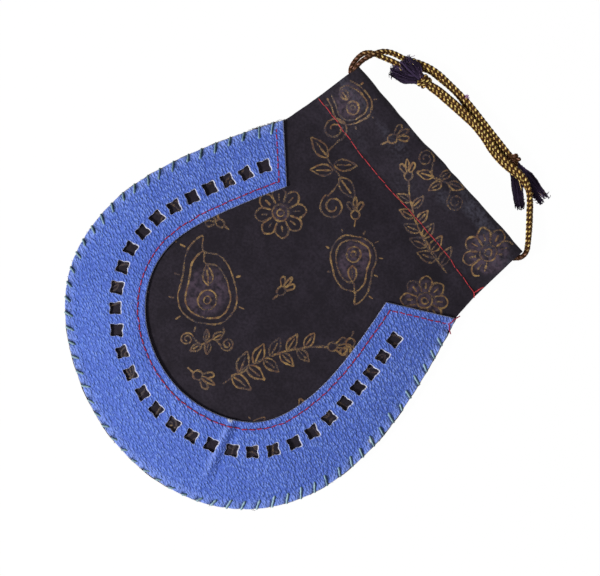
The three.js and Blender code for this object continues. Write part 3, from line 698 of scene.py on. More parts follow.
def make_weave(name):
    """Height of a plain weave, and a slow mottling of its dye."""
    tree, given, result = new_group(
        name,
        {"Vector": "NodeSocketVector", "Threads": "NodeSocketFloat"},
        {"Height": "NodeSocketFloat", "Mottle": "NodeSocketFloat"},
    )
    place = given.outputs["Vector"]
    bands = []
    for direction in ("X", "Y"):
        inputs = {"Vector": place, "Scale": given.outputs["Threads"], "Distortion": 0.4, "Detail": 1.0}
        bands.append(add_node(tree, "TexWave", inputs, bands_direction=direction).outputs["Fac"])
    height = arithmetic(tree, "MAXIMUM", *bands)
    slub = noise(tree, place, 900.0, 3.0)
    mottle = arithmetic(tree, "MULTIPLY", noise(tree, place, 120.0, 4.0), slub)
    tree.links.new(arithmetic(tree, "MULTIPLY", height, slub), result.inputs["Height"])
    tree.links.new(ranged(tree, mottle, 0.16, 0.44), result.inputs["Mottle"])
    return tree


def make_fibre(name):
    """Fine streaks and shade of spun thread."""
    tree, given, result = new_group(
        name, {"Vector": "NodeSocketVector"}, {"Height": "NodeSocketFloat", "Shade": "NodeSocketFloat"}
    )
    place = given.outputs["Vector"]
    tree.links.new(noise(tree, place, 6000.0, 2.0), result.inputs["Height"])
    tree.links.new(ranged(tree, noise(tree, place, 1500.0, 3.0), 0.3, 0.7), result.inputs["Shade"])
    return tree


def new_material(name, roughness, specular):
    """A material, its node tree and its Principled shader."""
    material = bpy.data.materials.new(name)
    material.use_nodes = True
    shader = material.node_tree.nodes["Principled BSDF"]
    shader.inputs["Roughness"].default_value = roughness
    shader.inputs["Specular IOR Level"].default_value = specular
    return material, material.node_tree, shader


def bump(tree, shader, height, distance, strength=1.0):
    inputs = {"Height": height, "Distance": distance, "Strength": strength}
    tree.links.new(add_node(tree, "Bump", inputs).outputs["Normal"], shader.inputs["Normal"])


def leather_material(name):
    """Grained leather with pale cut edges and a rim rubbed pale; the grain's colours carry painted shade and
    highlight, the rubbed colour a painted highlight besides wear, and the grooves by the lacing painted
    shade.
    """
    material, tree, shader = new_material(name, 0.5, 0.45)
    place = object_place(tree)
    warp = add_node(tree, "TexNoise", {"Vector": place, "Scale": 420.0, "Detail": 2.0}).outputs["Color"]
    bent = add_node(
        tree, "VectorMath", {0: warp, 1: (0.0009, 0.0009, 0.0009), 2: place}, operation="MULTIPLY_ADD"
    ).outputs[0]
    stretched = add_node(
        tree, "Mapping", {"Vector": bent, "Rotation": (0, 0, math.radians(-14)), "Scale": (2.0, 1, 1)},
        vector_type="TEXTURE",
    ).outputs["Vector"]
    cells = add_node(tree, "TexVoronoi", {"Vector": stretched, "Scale": 1040.0, "Randomness": 0.8})
    pebbles = ranged(tree, cells.outputs["Distance"], 0.1, 0.75, 1.0, 0.0)
    wrinkles = noise(tree, stretched, 1900.0, 2.0)
    coarse = arithmetic(tree, "MULTIPLY", pebbles, 0.55)
    fine = arithmetic(tree, "MULTIPLY", wrinkles, 0.45)
    grain = arithmetic(tree, "ADD", coarse, fine)
    cloud = noise(tree, place, 60.0, 3.0)
    tone = arithmetic(tree, "ADD", grain, ranged(tree, cloud, 0.3, 0.7, -0.2, -0.04))
    tints = colours()
    # Painted shade in the grain's folds and a painted highlight on its tops, besides the grain's own tone
    low = blend_colours(tree, ranged(tree, tone, 0.22, 0.48), tints.leather_valley_tone_and_shade, tints.leather)
    dye_and_painted_light = blend_colours(tree, ranged(tree, tone, 0.48, 0.95), low, tints.leather_peak_tone_and_highlight)
    # Rubbed pale where the leather is worn, with a painted highlight on the rim's puffs and on the fold
    wear_and_sheen = arithmetic(tree, "MULTIPLY", attribute(tree, "wear_and_sheen"), ranged(tree, wrinkles, 0.3, 0.7, 0.4, 1.0))
    rubbed_and_painted_light = blend_colours(tree, wear_and_sheen, dye_and_painted_light, tints.leather_rubbed_and_highlight)
    # Painted shade beside each lacing stitch
    rubbed_and_painted_light = blend_colours(tree, attribute(tree, "groove"), rubbed_and_painted_light, tints.leather_groove_shade)
    speckle = ranged(tree, noise(tree, place, 700.0, 3.0), 0.25, 0.75, 0.6, 1.0)
    bare = arithmetic(tree, "MULTIPLY", attribute(tree, "cut"), speckle)
    tree.links.new(blend_colours(tree, bare, rubbed_and_painted_light, tints.cut_edge), shader.inputs["Base Color"])
    tree.links.new(ranged(tree, grain, 0.3, 0.9, 0.52, 0.42), shader.inputs["Roughness"])
    bump(tree, shader, grain, 1.4 * MM)
    return material


def cloth_material(name, printed):
    """Dark cotton with a faded mottling; the printed cloth has dim fields of colour too."""
    material, tree, shader = new_material(name, 0.85, 0.12)
    place = object_place(tree)
    weave = shared_group(tree, "plain_weave", make_weave, {"Vector": place, "Threads": 620.0})
    tints = colours()
    dye_and_painted_light = blend_colours(tree, weave.outputs["Mottle"], tints.cloth, tints.cloth_mottle)
    if printed:
        blotch = ranged(tree, noise(tree, place, 520.0, 4.0), 0.35, 0.65)
        dim = arithmetic(tree, "MULTIPLY", attribute(tree, "field"), blotch)
        dye_and_painted_light = blend_colours(tree, dim, dye_and_painted_light, tints.print_field)
        # Streaks near the mouth: wear, and a painted sheen
        rubbed_and_painted_light = arithmetic(tree, "MULTIPLY", attribute(tree, "wear_and_sheen"), weave.outputs["Mottle"])
        dye_and_painted_light = blend_colours(tree, rubbed_and_painted_light, dye_and_painted_light, tints.cloth_rubbed_and_sheen)
    tree.links.new(dye_and_painted_light, shader.inputs["Base Color"])
    tree.links.new(ranged(tree, weave.outputs["Height"], 0.0, 0.7, 0.92, 0.72), shader.inputs["Roughness"])
    bump(tree, shader, weave.outputs["Height"], 0.08 * MM, 0.7)
    shader.inputs["Sheen Weight"].default_value = 0.06
    return material


def print_material(name):
    """Uneven gold paste of the printed lines."""
    material, tree, shader = new_material(name, 0.6, 0.25)
    place = object_place(tree)
    patch = noise(tree, place, 480.0, 3.0)
    grit = noise(tree, place, 2400.0, 2.0)
    tints = colours()
    warm = blend_colours(tree, ranged(tree, patch, 0.38, 0.62), tints.print_rust, tints.print_gold)
    faint = arithmetic(tree, "MULTIPLY", attribute(tree, "faint"), 0.3)
    thin = ranged(tree, arithmetic(tree, "ADD", grit, faint), 0.52, 0.78)
    tree.links.new(blend_colours(tree, thin, warm, tints.cloth_mottle), shader.inputs["Base Color"])
    bump(tree, shader, grit, 0.05 * MM)
    return material


def thread_material(name, rgb, bleached=None):
    """Spun thread; its second colour goes where the point value for it is 1, which paints light and shade:
    the lamp-facing side of the lacing is painted pale, and the ends of the band stitches are painted dark as
    shade in their needle holes.
    """
    material, tree, shader = new_material(name, 0.62, 0.3)
    fibre = shared_group(tree, "spun_fibre", make_fibre, {"Vector": object_place(tree)})
    dark = [0.45 * part for part in rgb]
    shade = blend_colours(tree, fibre.outputs["Shade"], dark, rgb)
    if bleached:
        shade = blend_colours(tree, attribute(tree, "bleached"), shade, bleached)
    tree.links.new(shade, shader.inputs["Base Color"])
    bump(tree, shader, fibre.outputs["Height"], 0.05 * MM)
    return material


def braid_material(name, dark):
    """Yarns of which some are wrapped in metal foil, as the gold value says."""
    material, tree, shader = new_material(name, 0.45, 0.3)
    place = object_place(tree)
    fibre = shared_group(tree, "spun_fibre", make_fibre, {"Vector": place})
    tints = colours()
    patchy = ranged(tree, noise(tree, place, 620.0, 2.0), 0.46, 0.58)
    tarnish = arithmetic(tree, "MULTIPLY", patchy, 0.55)
    bright = blend_colours(tree, tarnish, tints.braid_gold, tints.braid_tarnish)
    aged = attribute(tree, "aged")
    foil = blend_colours(tree, aged, bright, tints.braid_copper)
    spun = blend_colours(tree, fibre.outputs["Shade"], [0.5 * part for part in dark], dark)
    purple = attribute(tree, "purple")
    dye_and_painted_light = blend_colours(tree, ranged(tree, purple, 0.0, 0.7), spun, tints.fray_purple)
    plain = blend_colours(tree, ranged(tree, purple, 0.7, 1.4), dye_and_painted_light, tints.fray_pale)
    gold = attribute(tree, "gold")
    tree.links.new(blend_colours(tree, gold, plain, foil), shader.inputs["Base Color"])
    shine = arithmetic(tree, "SUBTRACT", gold, aged)
    tree.links.new(ranged(tree, shine, 0.4, 1.0, 0.0, 0.15), shader.inputs["Metallic"])
    tree.links.new(ranged(tree, shine, 0.4, 1.0, 0.7, 0.3), shader.inputs["Roughness"])
    tree.links.new(ranged(tree, shine, 0.4, 1.0, 0.06, 0.8), shader.inputs["Specular IOR Level"])
    bump(tree, shader, fibre.outputs["Height"], 0.06 * MM)
    return material


def shared_material(name, make, *inputs):
    return bpy.data.materials.get(name) or make(name, *inputs)


# Panels

COLUMN_COUNT = 121
PANEL_COLUMNS = np.linspace(-1, 1, COLUMN_COUNT)
BOTTOM_ROWS = 64
SIDE_ROWS = 72
SHOULDER_ROWS = 14
CASING_ROWS = 24
FOLD_ROWS = 14
LOWEST_SHARE = 0.494
CLOTH_SHOWN = 0.5 * MM
# How far the cloth stands out past the leather: shares along the rim, and the amounts there. Along the right
# side it stands out further, so that its dark edge is partly cloth and partly painted shade along the rim.
CLOTH_PAST_RIM = ((0, 0.2, 0.3, 0.4, 0.56, 0.62, 1), (1.1, 0.9, 0.3, 1.5, 1.5, 0.7, 1.2))


def cloth_edge(share):
    """Outline of the cloth, which shows in places as a thin uneven line beyond the leather."""
    along = np.interp(share, SHARES, RIM_TRACK.along)
    shows = np.interp(along / RIM_TRACK.length, *CLOTH_PAST_RIM)
    ragged = 0.36 + 0.16 * ripple_along(along, 5 * MM, 14) + 0.1 * ripple_along(along, 1.7 * MM, 15)
    return RIM_TRACK.at(along) + (MM * shows * ragged)[:, None] * right_of(RIM_TRACK.direction(along))


def body_rows():
    """Left end and right end of each row, from the bottom up to the casing seam."""
    bottom = np.linspace(LOWEST_SHARE, 1 / 3, BOTTOM_ROWS, endpoint=False)
    shares = np.concatenate([bottom, np.linspace(1 / 3, 0, SIDE_ROWS)])
    upper = np.linspace(SHOULDER_Y, SEAM_Y, SHOULDER_ROWS + 1)[1:]
    half = half_width(upper) + 0.12 * MM * ripple_along(upper, 1.8 * MM, 16)
    lefts = np.vstack([cloth_edge(shares), np.stack([end_drift(upper, "left") - half, upper], -1)])
    rights = np.vstack([cloth_edge(1 - shares), np.stack([end_drift(upper, "right") + half, upper], -1)])
    return lefts, rights


def spread_columns(left, right):
    return mix(left, right, (PANEL_COLUMNS + 1) / 2)


def panel_layers(side, outer, mid):
    """Outer and inner layer of a panel as rows of points, casing and hem included.
    side is 1 for the front and -1 for the back; outer gives the height of its outer face."""
    faces_out, faces_in = [], []

    def add_row(x, y, z, face_y, face_z):
        faces_out.append(np.stack([x, y + 0 * x, z + 0 * x], -1))
        faces_in.append(np.stack([x, y - face_y * CLOTH_SHOWN + 0 * x, z - face_z * CLOTH_SHOWN + 0 * x], -1))

    for left, right in zip(*body_rows()):
        x, y = spread_columns(left[0], right[0]), spread_columns(left[1], right[1])
        add_row(x, y, outer(x, y), 0, side)
    seam_half = half_width(np.array(SEAM_Y))
    for share in np.linspace(0, 1, CASING_ROWS + 1)[1:]:
        end = mix(seam_half, MOUTH_HALF, min(1, share * 1.25))
        level = mix(SEAM_Y, WIDEST_Y + MOUTH_RISE, share)
        left = end_drift(level, "left") - end + CORNER_CUT * ease(share, 0.8, 1)
        x = spread_columns(left, end_drift(level, "right") + end)
        y = mix(SEAM_Y, mouth_top(x) - FOLD_DEPTH, share)
        add_row(x, y, outer(x, y), 0, side)
    left_end, right_end = END_DRIFT["left"][-1] - MOUTH_HALF, END_DRIFT["right"][-1] + MOUTH_HALF
    for angle in np.linspace(math.pi / 2, -math.pi / 2, FOLD_ROWS)[1:]:
        setback = HEM_SETBACK * ease(-angle, 0, math.pi / 4)
        left = left_end + CORNER_CUT + max(0, setback - CORNER_CUT)
        x = spread_columns(left, right_end - setback)
        y = mouth_top(x) - FOLD_DEPTH + FOLD_DEPTH * math.cos(angle)
        z = mid(x) + side * FOLD_DEPTH * math.sin(angle)
        add_row(x, y, z, math.cos(angle), side * math.sin(angle))
    x = spread_columns(left_end + HEM_SETBACK, right_end - HEM_SETBACK)
    for share in np.linspace(1, 0, CASING_ROWS)[1:]:
        y = mix(SEAM_Y, mouth_top(x) - FOLD_DEPTH, share)
        swell = casing_swell(x, y)
        seam_middle = outer(x, SEAM_Y + 0 * x) - side * (CLOTH / 2 + SEAM_SPREAD)
        middle = mix(seam_middle, mid(x), swell)
        z = middle - side * (mix(SEAM_SPREAD, FOLD_RADIUS, swell) + CLOTH / 2)
        add_row(x, y, z, 0, -side)
    hem = SEAM_Y - HEM_ALLOWANCE
    add_row(x, hem + 0 * x, outer(x, hem + 0 * x) - side * (2 * CLOTH + GAP), 0, -side)
    return np.array(faces_out), np.array(faces_in)


def panel_mesh(side, outer, mid):
    outside, inside = panel_layers(side, outer, mid)
    faces = grid_faces(*outside.shape[:2])
    if side < 0:
        faces = faces[:, ::-1]
    return thick_sheet(outside.reshape(-1, 3), inside.reshape(-1, 3), faces)


class POUCH_OT_front_panel(bpy.types.Operator):
    """Makes the front cloth with its casing and hem"""

    bl_idname = "pouch.front_panel"
    bl_label = "Front Panel"

    def execute(self, context):
        points, faces = panel_mesh(1, front_surface, casing_mid)
        x, y = points[:, 0], points[:, 1]
        field = np.zeros(len(points))
        for centre_x, centre_y, half_x, half_y, turn in PRINT_FIELDS:
            along = (x - centre_x) * math.cos(turn) + (y - centre_y) * math.sin(turn)
            beside = (y - centre_y) * math.cos(turn) - (x - centre_x) * math.sin(turn)
            field = np.maximum(field, 1 - ease(np.hypot(along / half_x, beside / half_y), 0.85, 1.05))
        # The cloth near the mouth: wear, with a painted sheen in streaks along the mouth
        near_mouth = ease(y, SEAM_Y - 4 * MM, SEAM_Y + 14 * MM)
        wear_and_sheen = near_mouth * ease(ripple(0.35 * x, y, 5 * MM, 8), -0.1, 0.8)
        parts = Parts()
        parts.add(points, faces, field=field, wear_and_sheen=wear_and_sheen)
        material = shared_material("printed_cotton", cloth_material, True)
        piece = parts.build("front_cloth", material, "front_cloth", "front_panel")
        return {"FINISHED"}


class POUCH_OT_back_panel(bpy.types.Operator):
    """Makes the plain back cloth with its casing and hem"""

    bl_idname = "pouch.back_panel"
    bl_label = "Back Panel"

    def execute(self, context):
        def under(x, y):
            return np.where(y > SEAM_Y, SEAM_LIFT * (1 - casing_swell(x, y)), back_under(x, y))

        points, faces = panel_mesh(-1, under, lambda x: BACK_CASING_MID + 0 * x)
        parts = Parts()
        parts.add(points, faces)
        material = shared_material("plain_cotton", cloth_material, False)
        piece = parts.build("back_cloth", material, "back_cloth", "back_panel")
        return {"FINISHED"}


# Printed ornaments, in millimetres about their own middle, as lists of lines

def arc(x, y, half_x, half_y, start=0, end=360, steps=28):
    angle = np.radians(np.linspace(start, end, steps))
    return np.stack([x + half_x * np.cos(angle), y + half_y * np.sin(angle)], -1)


def line(*points):
    return np.array(points, float)


def turned(points, degrees, x=0.0, y=0.0):
    return np.asarray(points) @ spin(math.radians(degrees)) + (x, y)


def curl(x, y, radius, start, end):
    """A spiral that closes in on a place."""
    share = np.linspace(0, 1, 30)[:, None]
    angle = np.radians(mix(start, end, share))
    return (x, y) + radius * (1 - 0.75 * share) * np.hstack([np.cos(angle), np.sin(angle)])


def leaf(x, y, degrees, reach):
    """A pointed leaf that grows from a place, with its rib."""
    share = np.linspace(0, 1, 9)
    half = 0.25 * np.sin(math.pi * share**0.8)
    outline = np.vstack([np.stack([share, half], -1), np.stack([share, -half], -1)[-2::-1]])
    rib = [(0.1 * reach, 0), (0.75 * reach, 0)]
    return [turned(reach * outline, degrees, x, y), turned(rib, degrees, x, y)]


def bud(x=0.0, y=0.0, degrees=0):
    """A round bud with three short petals."""
    petal = line((1.4, 1.2), (4, 3.4), (5.6, 2.6), (4.2, 1.2), (1.9, 0.5))
    middle_petal = line((2, 0.3), (5, 0.8), (7.4, 0), (5, -0.8), (2, -0.3))
    stalk = line((-1.9, 0), (-5, 0.6))
    shapes = [arc(0, 0, 1.9, 1.7, steps=14), petal, petal * (1, -1), middle_petal, stalk]
    return [turned(points, degrees, x, y) for points in shapes]


def paisley():
    """A bent drop with a smaller one inside it and short rays round it."""
    outline = line(
        (0, -9), (5.4, -7), (7, -1.6), (4, 4), (-0.6, 7.6), (-5, 7.4),
        (-6.6, 10.6), (-8.6, 6), (-7.4, 0), (-6.6, -5), (-4, -8.2), (0, -9),
    )
    rings = [arc(0.2, -3.2, 2.2, 2.4, steps=18), arc(0.2, -3.2, 0.8, 0.9, steps=9)]
    lines = [outline, 0.76 * outline + (0.1, -0.7), *rings, *leaf(-0.8, 0.2, 118, 5)]
    for corner, turn in ((0, 270), (1, 310), (2, 350), (3, 30), (7, 170), (8, 180), (9, 190), (10, 235)):
        lines.append(0.1 * turned([(0, 0), (14, 0)], turn) + 1.1 * outline[corner])
    return lines


def rosette():
    """A flower of eight petals round a ringed middle."""
    petal = line((3.8, -1.6), (8.2, -2.8), (10.8, 0), (8.2, 2.8), (3.8, 1.6))
    lines = [arc(0, 0, 1.5, 1.5, steps=12), arc(0, 0, 3.4, 3.4, steps=20)]
    for turn in range(0, 360, 45):
        lines += [turned(petal, turn), turned([(5.2, 0), (8.2, 0)], turn)]
    return lines


def leaf_sprig():
    """A bent stem with leaves on both sides and a bud at its tip."""
    lines = [line((-24, -4), (-12, 0), (0, 1.5), (12, 0.6), (20, -1.6))]
    for k, (x, y) in enumerate(((-18, -1.7), (-11, 0.2), (-4, 1.2), (3, 1.4), (10, 0.8))):
        for side in (-1, 1):
            lines += leaf(x + 1.5 * side, y, side * 52 - 3 * k, 9.5 - 0.7 * k)
    return lines + bud(22, -2.2, -14)


def scroll():
    """Two curls that turn opposite ways on one stem, with leaves at its middle."""
    stem = line((-9, 5), (-5, -1), (0, 0), (5, 1), (9, -5))
    lines = [stem, curl(-13, 4.2, 4.6, 10, 620), curl(13, -4.2, 4.6, 190, 800)]
    for x, y, turn, reach in ((-1, 0.5, 70, 8), (1, -0.5, 250, 8), (4, 1, 20, 9), (-4, -1, 200, 9)):
        lines += leaf(x, y, turn, reach)
    return lines


# Each ornament, the place of its middle, its turn in degrees and its scale
PRINT_LAYOUT = [
    (paisley, -20, -17, 28, 1.75),
    (leaf_sprig, 20, -15, 66, 1.05),
    (rosette, -25, 25, 10, 1.0),
    (paisley, 10, 33, 205, 1.35),
    (scroll, -25, 54, -24, 1.2),
    (leaf_sprig, 17, 66, 160, 0.95),
    (rosette, 42, 47, 0, 0.95),
    (paisley, -42, 78, 60, 1.15),
    (scroll, 8, 84, 12, 0.8),
    (rosette, 44, 80, 20, 1.0),
    (bud, 0, 4, 100, 1.0),
    (bud, -38, 3, 200, 1.0),
    (bud, 4, -45, 20, 1.1),
    (bud, 35, 12, -50, 1.0),
    (bud, -4, 48, 140, 1.0),
    (bud, -18, 80, 80, 1.1),
    (scroll, -4, -33, 60, 0.62),
]
# Height of a printed line's edges and middle above the cloth, and how deep it goes in
PRINT_LIFT = np.array([0.02, 0.06, 0.02]) * MM
PRINT_SINK = 0.05 * MM

# More ornaments under the leather, which show in the punched holes
HIDDEN_ORNAMENTS = 8

# Dim fields of colour under the print: middle, half sizes and turn
PRINT_FIELDS = [
    (-20 * MM, -20 * MM, 9 * MM, 11 * MM, 0.5),
    (10 * MM, 36 * MM, 7 * MM, 9 * MM, 0.4),
    (-25 * MM, 25 * MM, 4 * MM, 4 * MM, 0.0),
    (-42 * MM, 77 * MM, 6 * MM, 8 * MM, 1.0),
    (44 * MM, 80 * MM, 9 * MM, 9 * MM, 0.0),
    (42 * MM, 47 * MM, 9 * MM, 9 * MM, 0.0),
]


def printed_lines():
    """Every printed line of the front cloth as points in metres."""
    layout = list(PRINT_LAYOUT)
    for k in range(HIDDEN_ORNAMENTS):
        x, y = HOLE_TRACK.at(HOLE_TRACK.length * (k + 0.5) / HIDDEN_ORNAMENTS) / MM
        layout.append((paisley, x, y, 73 * k, 1.2))
    return [turned(points * scale, turn, x, y) * MM
            for ornament, x, y, turn, scale in layout for points in ornament()]


class POUCH_OT_gold_print(bpy.types.Operator):
    """Lays the printed gold lines on the front cloth"""

    bl_idname = "pouch.gold_print"
    bl_label = "Gold Print"

    def execute(self, context):
        parts = Parts()
        for number, points in enumerate(printed_lines()):
            self.add_line(parts, smooth_path(points, 0.45 * MM), number)
        material = shared_material("gold_print", print_material)
        parts.build("gold_print", material, "front_cloth")
        return {"FINISHED"}

    def add_line(self, parts, path, number):
        along = Track(path).along
        shaky = [ripple_along(along, 3 * MM, seed + number) for seed in (40, 90)]
        path = path + 0.16 * MM * np.stack(shaky, -1)
        x, y = path[:, 0], path[:, 1]
        low_edge = np.maximum(edge_share(x, y), np.abs(x) / (half_width(y) - 2.4 * MM))
        inside = (low_edge < 0.97) & (y < mouth_top(x) - 0.6 * MM)
        for run in np.split(np.arange(len(path)), np.flatnonzero(np.diff(inside.astype(int))) + 1):
            if inside[run[0]] and len(run) > 3:
                self.add_run(parts, path[run], along[run], number)

    def add_run(self, parts, path, along, number):
        uneven = 0.3 * ripple_along(along, 1.1 * MM, 7 + number)
        uneven += 0.15 * ripple_along(along, 0.6 * MM, number)
        half = sizes().print_line / 2 * (0.9 + uneven)
        half[[0, -1]] *= 0.4
        side = right_of(unit(np.gradient(path, axis=0)))
        rows = [path + side * (half * reach)[:, None] for reach in (-1, 0, 1)]
        flat = np.stack(rows, 1)
        x, y = flat[..., 0], flat[..., 1]
        ground = front_surface(x, y)
        upper = np.stack([x, y, ground + PRINT_LIFT], -1).reshape(-1, 3)
        lower = np.stack([x, y, ground - PRINT_SINK], -1).reshape(-1, 3)
        points, quads = thick_sheet(upper, lower, grid_faces(len(path), len(rows)))
        faint = ripple_along(along, 7 * MM, 200 + number) * 0.5 + 0.5
        # Under the leather the print fades into the cloth, so the print seen in the punched holes is painted
        # darker, as shade in the holes
        faint = np.where(inside_ring(path[:, 0], path[:, 1], band_outline()[::4]), 0.8 + 0.3 * faint, faint)
        parts.add(points, quads, faint=np.tile(np.repeat(faint, len(rows)), 2))


# Leather band

# The mesh: a cell round each hole, rows from the cells to the opening and to the rim, and columns at the ends
CELL_STEPS = 16
CELL_HALF = 5.2 * MM
INNER_ROWS = 9
OUTER_ROWS = 22
LEFT_END_COLUMNS = 8
RIGHT_END_COLUMNS = 14
END_SHARE = 0.004
# Rows of the pale bevel along a cut edge, in widths of the bevel, and how deep it is cut
BEVEL_ROWS = np.array([0, 1, 1.3])
BEVEL_DROP = 0.5 * MM
# Three times about the length of a side of the band, which takes a third of the shares along it
END_RUN = 3 * 52 * MM
# What counts as far from the rim and the opening, for the leather round a hole
FAR_FROM_EDGE = 20 * MM
# Points that are closer than this are joined
WELD = 0.002 * MM
# The side of each hole where the pale bevel is made wider: the wall that faces the lamp, so its cut edge
# shows as a wider pale band, partly bevel and partly painted light on the lit wall
LAMP_FACING_BEVEL_SIDE = np.array([0.352, 0.936])
# Places where the leather is rubbed bare
NICKS = np.array([(26.8, -46.6), (72.4, -8.2)]) * MM
# How deep the lacing bites along the rim, as shares of its depth, and how pale the painted lit side of its
# thread is there
LACE_REACH = (
    (0, 0.12, 0.3, 0.42, 0.5, 0.55, 0.6, 0.64, 0.69, 1),
    (0.85, 0.8, 0.62, 0.66, 0.5, 0.3, 0.35, 0.7, 1.0, 0.68),
)
LACE_PALE = ((0, 0.3, 0.55, 0.62, 0.7, 0.8, 1), (0.75, 0.7, 0.55, 0.7, 1.0, 1.0, 1.0))
LACE_TWIST = 2.4 * MM
# How uneven the lacing is along the rim and across it, and the length of its start, where the painted lit
# side of its thread is palest
LACE_SLIP = 0.45 * MM
LACE_UNEVEN = 0.5 * MM
LACE_PALEST = 14 * MM
# The way that the painted pale side of the lacing faces, across the pouch and up it: towards the lamp, so the
# lamp-facing side of the thread is painted pale as light and the other side keeps the darker lacing colour as
# painted shade
PAINTED_LIT_SIDE = np.array([-0.3, -0.95])
# A fold across the band: a line from the opening towards the rim, and its height in mm
CREASE = ((28 * MM, -46.7 * MM), (36.2 * MM, -65.1 * MM))
CREASE_RISE = 1.05


def read_band(share, across):
    """A place on the band, from the opening to the rim."""
    inner = np.stack([np.interp(share, SHARES, axis) for axis in OPENING_POINTS.T], -1)
    outer = np.stack([np.interp(share, SHARES, axis) for axis in RIM_POINTS.T], -1)
    return mix(inner, outer, np.asarray(across)[..., None])


def band_width(share):
    return np.interp(share, SHARES, np.linalg.norm(RIM_POINTS - OPENING_POINTS, axis=1))


def band_place(point):
    """Share along and across the band of a point on it."""
    span, reach = RIM_POINTS - OPENING_POINTS, point - OPENING_POINTS
    along = (reach * span).sum(1) / (span**2).sum(1)
    miss = np.linalg.norm(reach - along[:, None] * span, axis=1)
    best = np.where((along > 0) & (along < 1), miss, np.inf).argmin()
    return SHARES[best], along[best]


def hole_places():
    """Middle and direction of each punched hole, and its share along and across the band."""
    share = np.linspace(0, 1, HOLE_COUNT)
    even = mix(HOLE_ROW_START, HOLE_TRACK.length - HOLE_ROW_END, share)
    distance = even - np.interp(share, np.linspace(0, 1, len(HOLE_DRIFT)), HOLE_DRIFT)
    middles, directions = HOLE_TRACK.at(distance), HOLE_TRACK.direction(distance)
    shares, across = np.array([band_place(middle) for middle in middles]).T
    return middles, directions, shares, across


def hole_outline(number):
    """Offsets along and out of the row: a square hole with dented sides, uneven as if cut by hand."""
    rng = np.random.default_rng(300 + number)
    reach = sizes().hole_size / 2 / math.sqrt(2)
    dent = reach - sizes().hole_waist / 2
    square = np.array([(-1, -1), (1, -1), (1, 1), (-1, 1)])
    corners = reach * square + rng.normal(0, 0.17 * MM, square.shape)
    inward = np.array([(0, 1), (-1, 0), (0, -1), (1, 0)])
    share = np.linspace(0, 1, CELL_STEPS, endpoint=False)[:, None]
    sides = []
    for start, end, inside in zip(corners, np.roll(corners, -1, axis=0), inward):
        depth = dent * rng.uniform(0.8, 1.6) * hump(share - 0.5, 0.14)
        sides.append(mix(start, end, share) + depth * inside)
    ring = np.vstack(sides)
    for _ in range(2):
        ring = (np.roll(ring, 1, axis=0) + 2 * ring + np.roll(ring, -1, axis=0)) / 4
    return ring @ spin(rng.normal(0, math.radians(3)))


class BandMesh:
    """Flat points of the leather band with their bevel, bare edge and distances from the band's edges."""

    def __init__(self):
        self.rows, self.faces, self.count = [], [], 0

    def add(self, flat, drop, bare, from_opening, from_rim, along_rim, faces):
        values = (drop, bare, from_opening, from_rim, along_rim)
        columns = np.broadcast_arrays(flat[..., 0], flat[..., 1], *values)
        self.rows.append(np.stack(columns, -1).reshape(-1, len(columns)))
        self.faces.append(np.asarray(faces) + self.count)
        self.count += self.rows[-1].shape[0]

    def add_patch(self, share, reach):
        """A grid of places on the band, bevelled where it meets an edge."""
        bevel = sizes().cut_edge
        width = band_width(share)
        from_opening, from_rim = reach * width, (1 - reach) * width
        from_end = np.minimum(share, 1 - share) * END_RUN
        edge = np.minimum(np.minimum(from_opening, from_rim), from_end)
        drop = BEVEL_DROP * np.clip(1 - edge / bevel, 0, 1)
        bare = (edge < 0.5 * bevel) * np.where(from_rim < 1.15 * bevel, 0.45, 0.7)
        along = np.interp(share, SHARES, RIM_TRACK.along)
        faces = grid_faces(*share.shape)
        self.add(read_band(share, reach), drop, bare, from_opening, from_rim, along, faces)

    def add_hole(self, number, middle, direction, border):
        """A punched hole with its bevel, and the leather from there to the border of its cell."""
        bevel = sizes().cut_edge
        offsets = hole_outline(number)
        hole = middle + offsets[:, :1] * direction + offsets[:, 1:] * right_of(direction)
        outward = unit(hole - middle)
        slope = bevel * mix(0.3, 1.6, ease(outward @ LAMP_FACING_BEVEL_SIDE, 0.0, 0.9))[:, None]
        level = hole + outward * (slope + 0.3 * bevel)
        layers = [hole, hole + outward * slope, level]
        layers += [mix(level, border, part) for part in (0.25, 0.5, 0.75, 1.0)]
        flat = np.array(layers)
        rings = np.arange(len(layers))[:, None]
        drop = np.where(rings == 0, BEVEL_DROP, 0.0)
        bare = np.where(rings < 2, 0.9, 0.0)
        index = np.arange(flat.shape[0] * flat.shape[1]).reshape(flat.shape[:2])
        following = np.roll(index, -1, axis=1)
        faces = np.stack([index[:-1], following[:-1], following[1:], index[1:]], -1).reshape(-1, 4)
        self.add(flat, drop, bare, FAR_FROM_EDGE, FAR_FROM_EDGE, 0.0, faces)

    def welded(self):
        """Points without doubles, and faces that all look up."""
        rows, faces = np.vstack(self.rows), np.vstack(self.faces)
        places = np.round(rows[:, :2] / WELD)
        _, first, back = np.unique(places, axis=0, return_index=True, return_inverse=True)
        rows, faces = rows[first], back.reshape(-1)[faces]
        corners = rows[faces, :2]
        diagonal, other = corners[:, 2] - corners[:, 0], corners[:, 3] - corners[:, 1]
        downward = diagonal[:, 0] * other[:, 1] - diagonal[:, 1] * other[:, 0] < 0
        faces[downward] = faces[downward][:, ::-1]
        return rows, faces


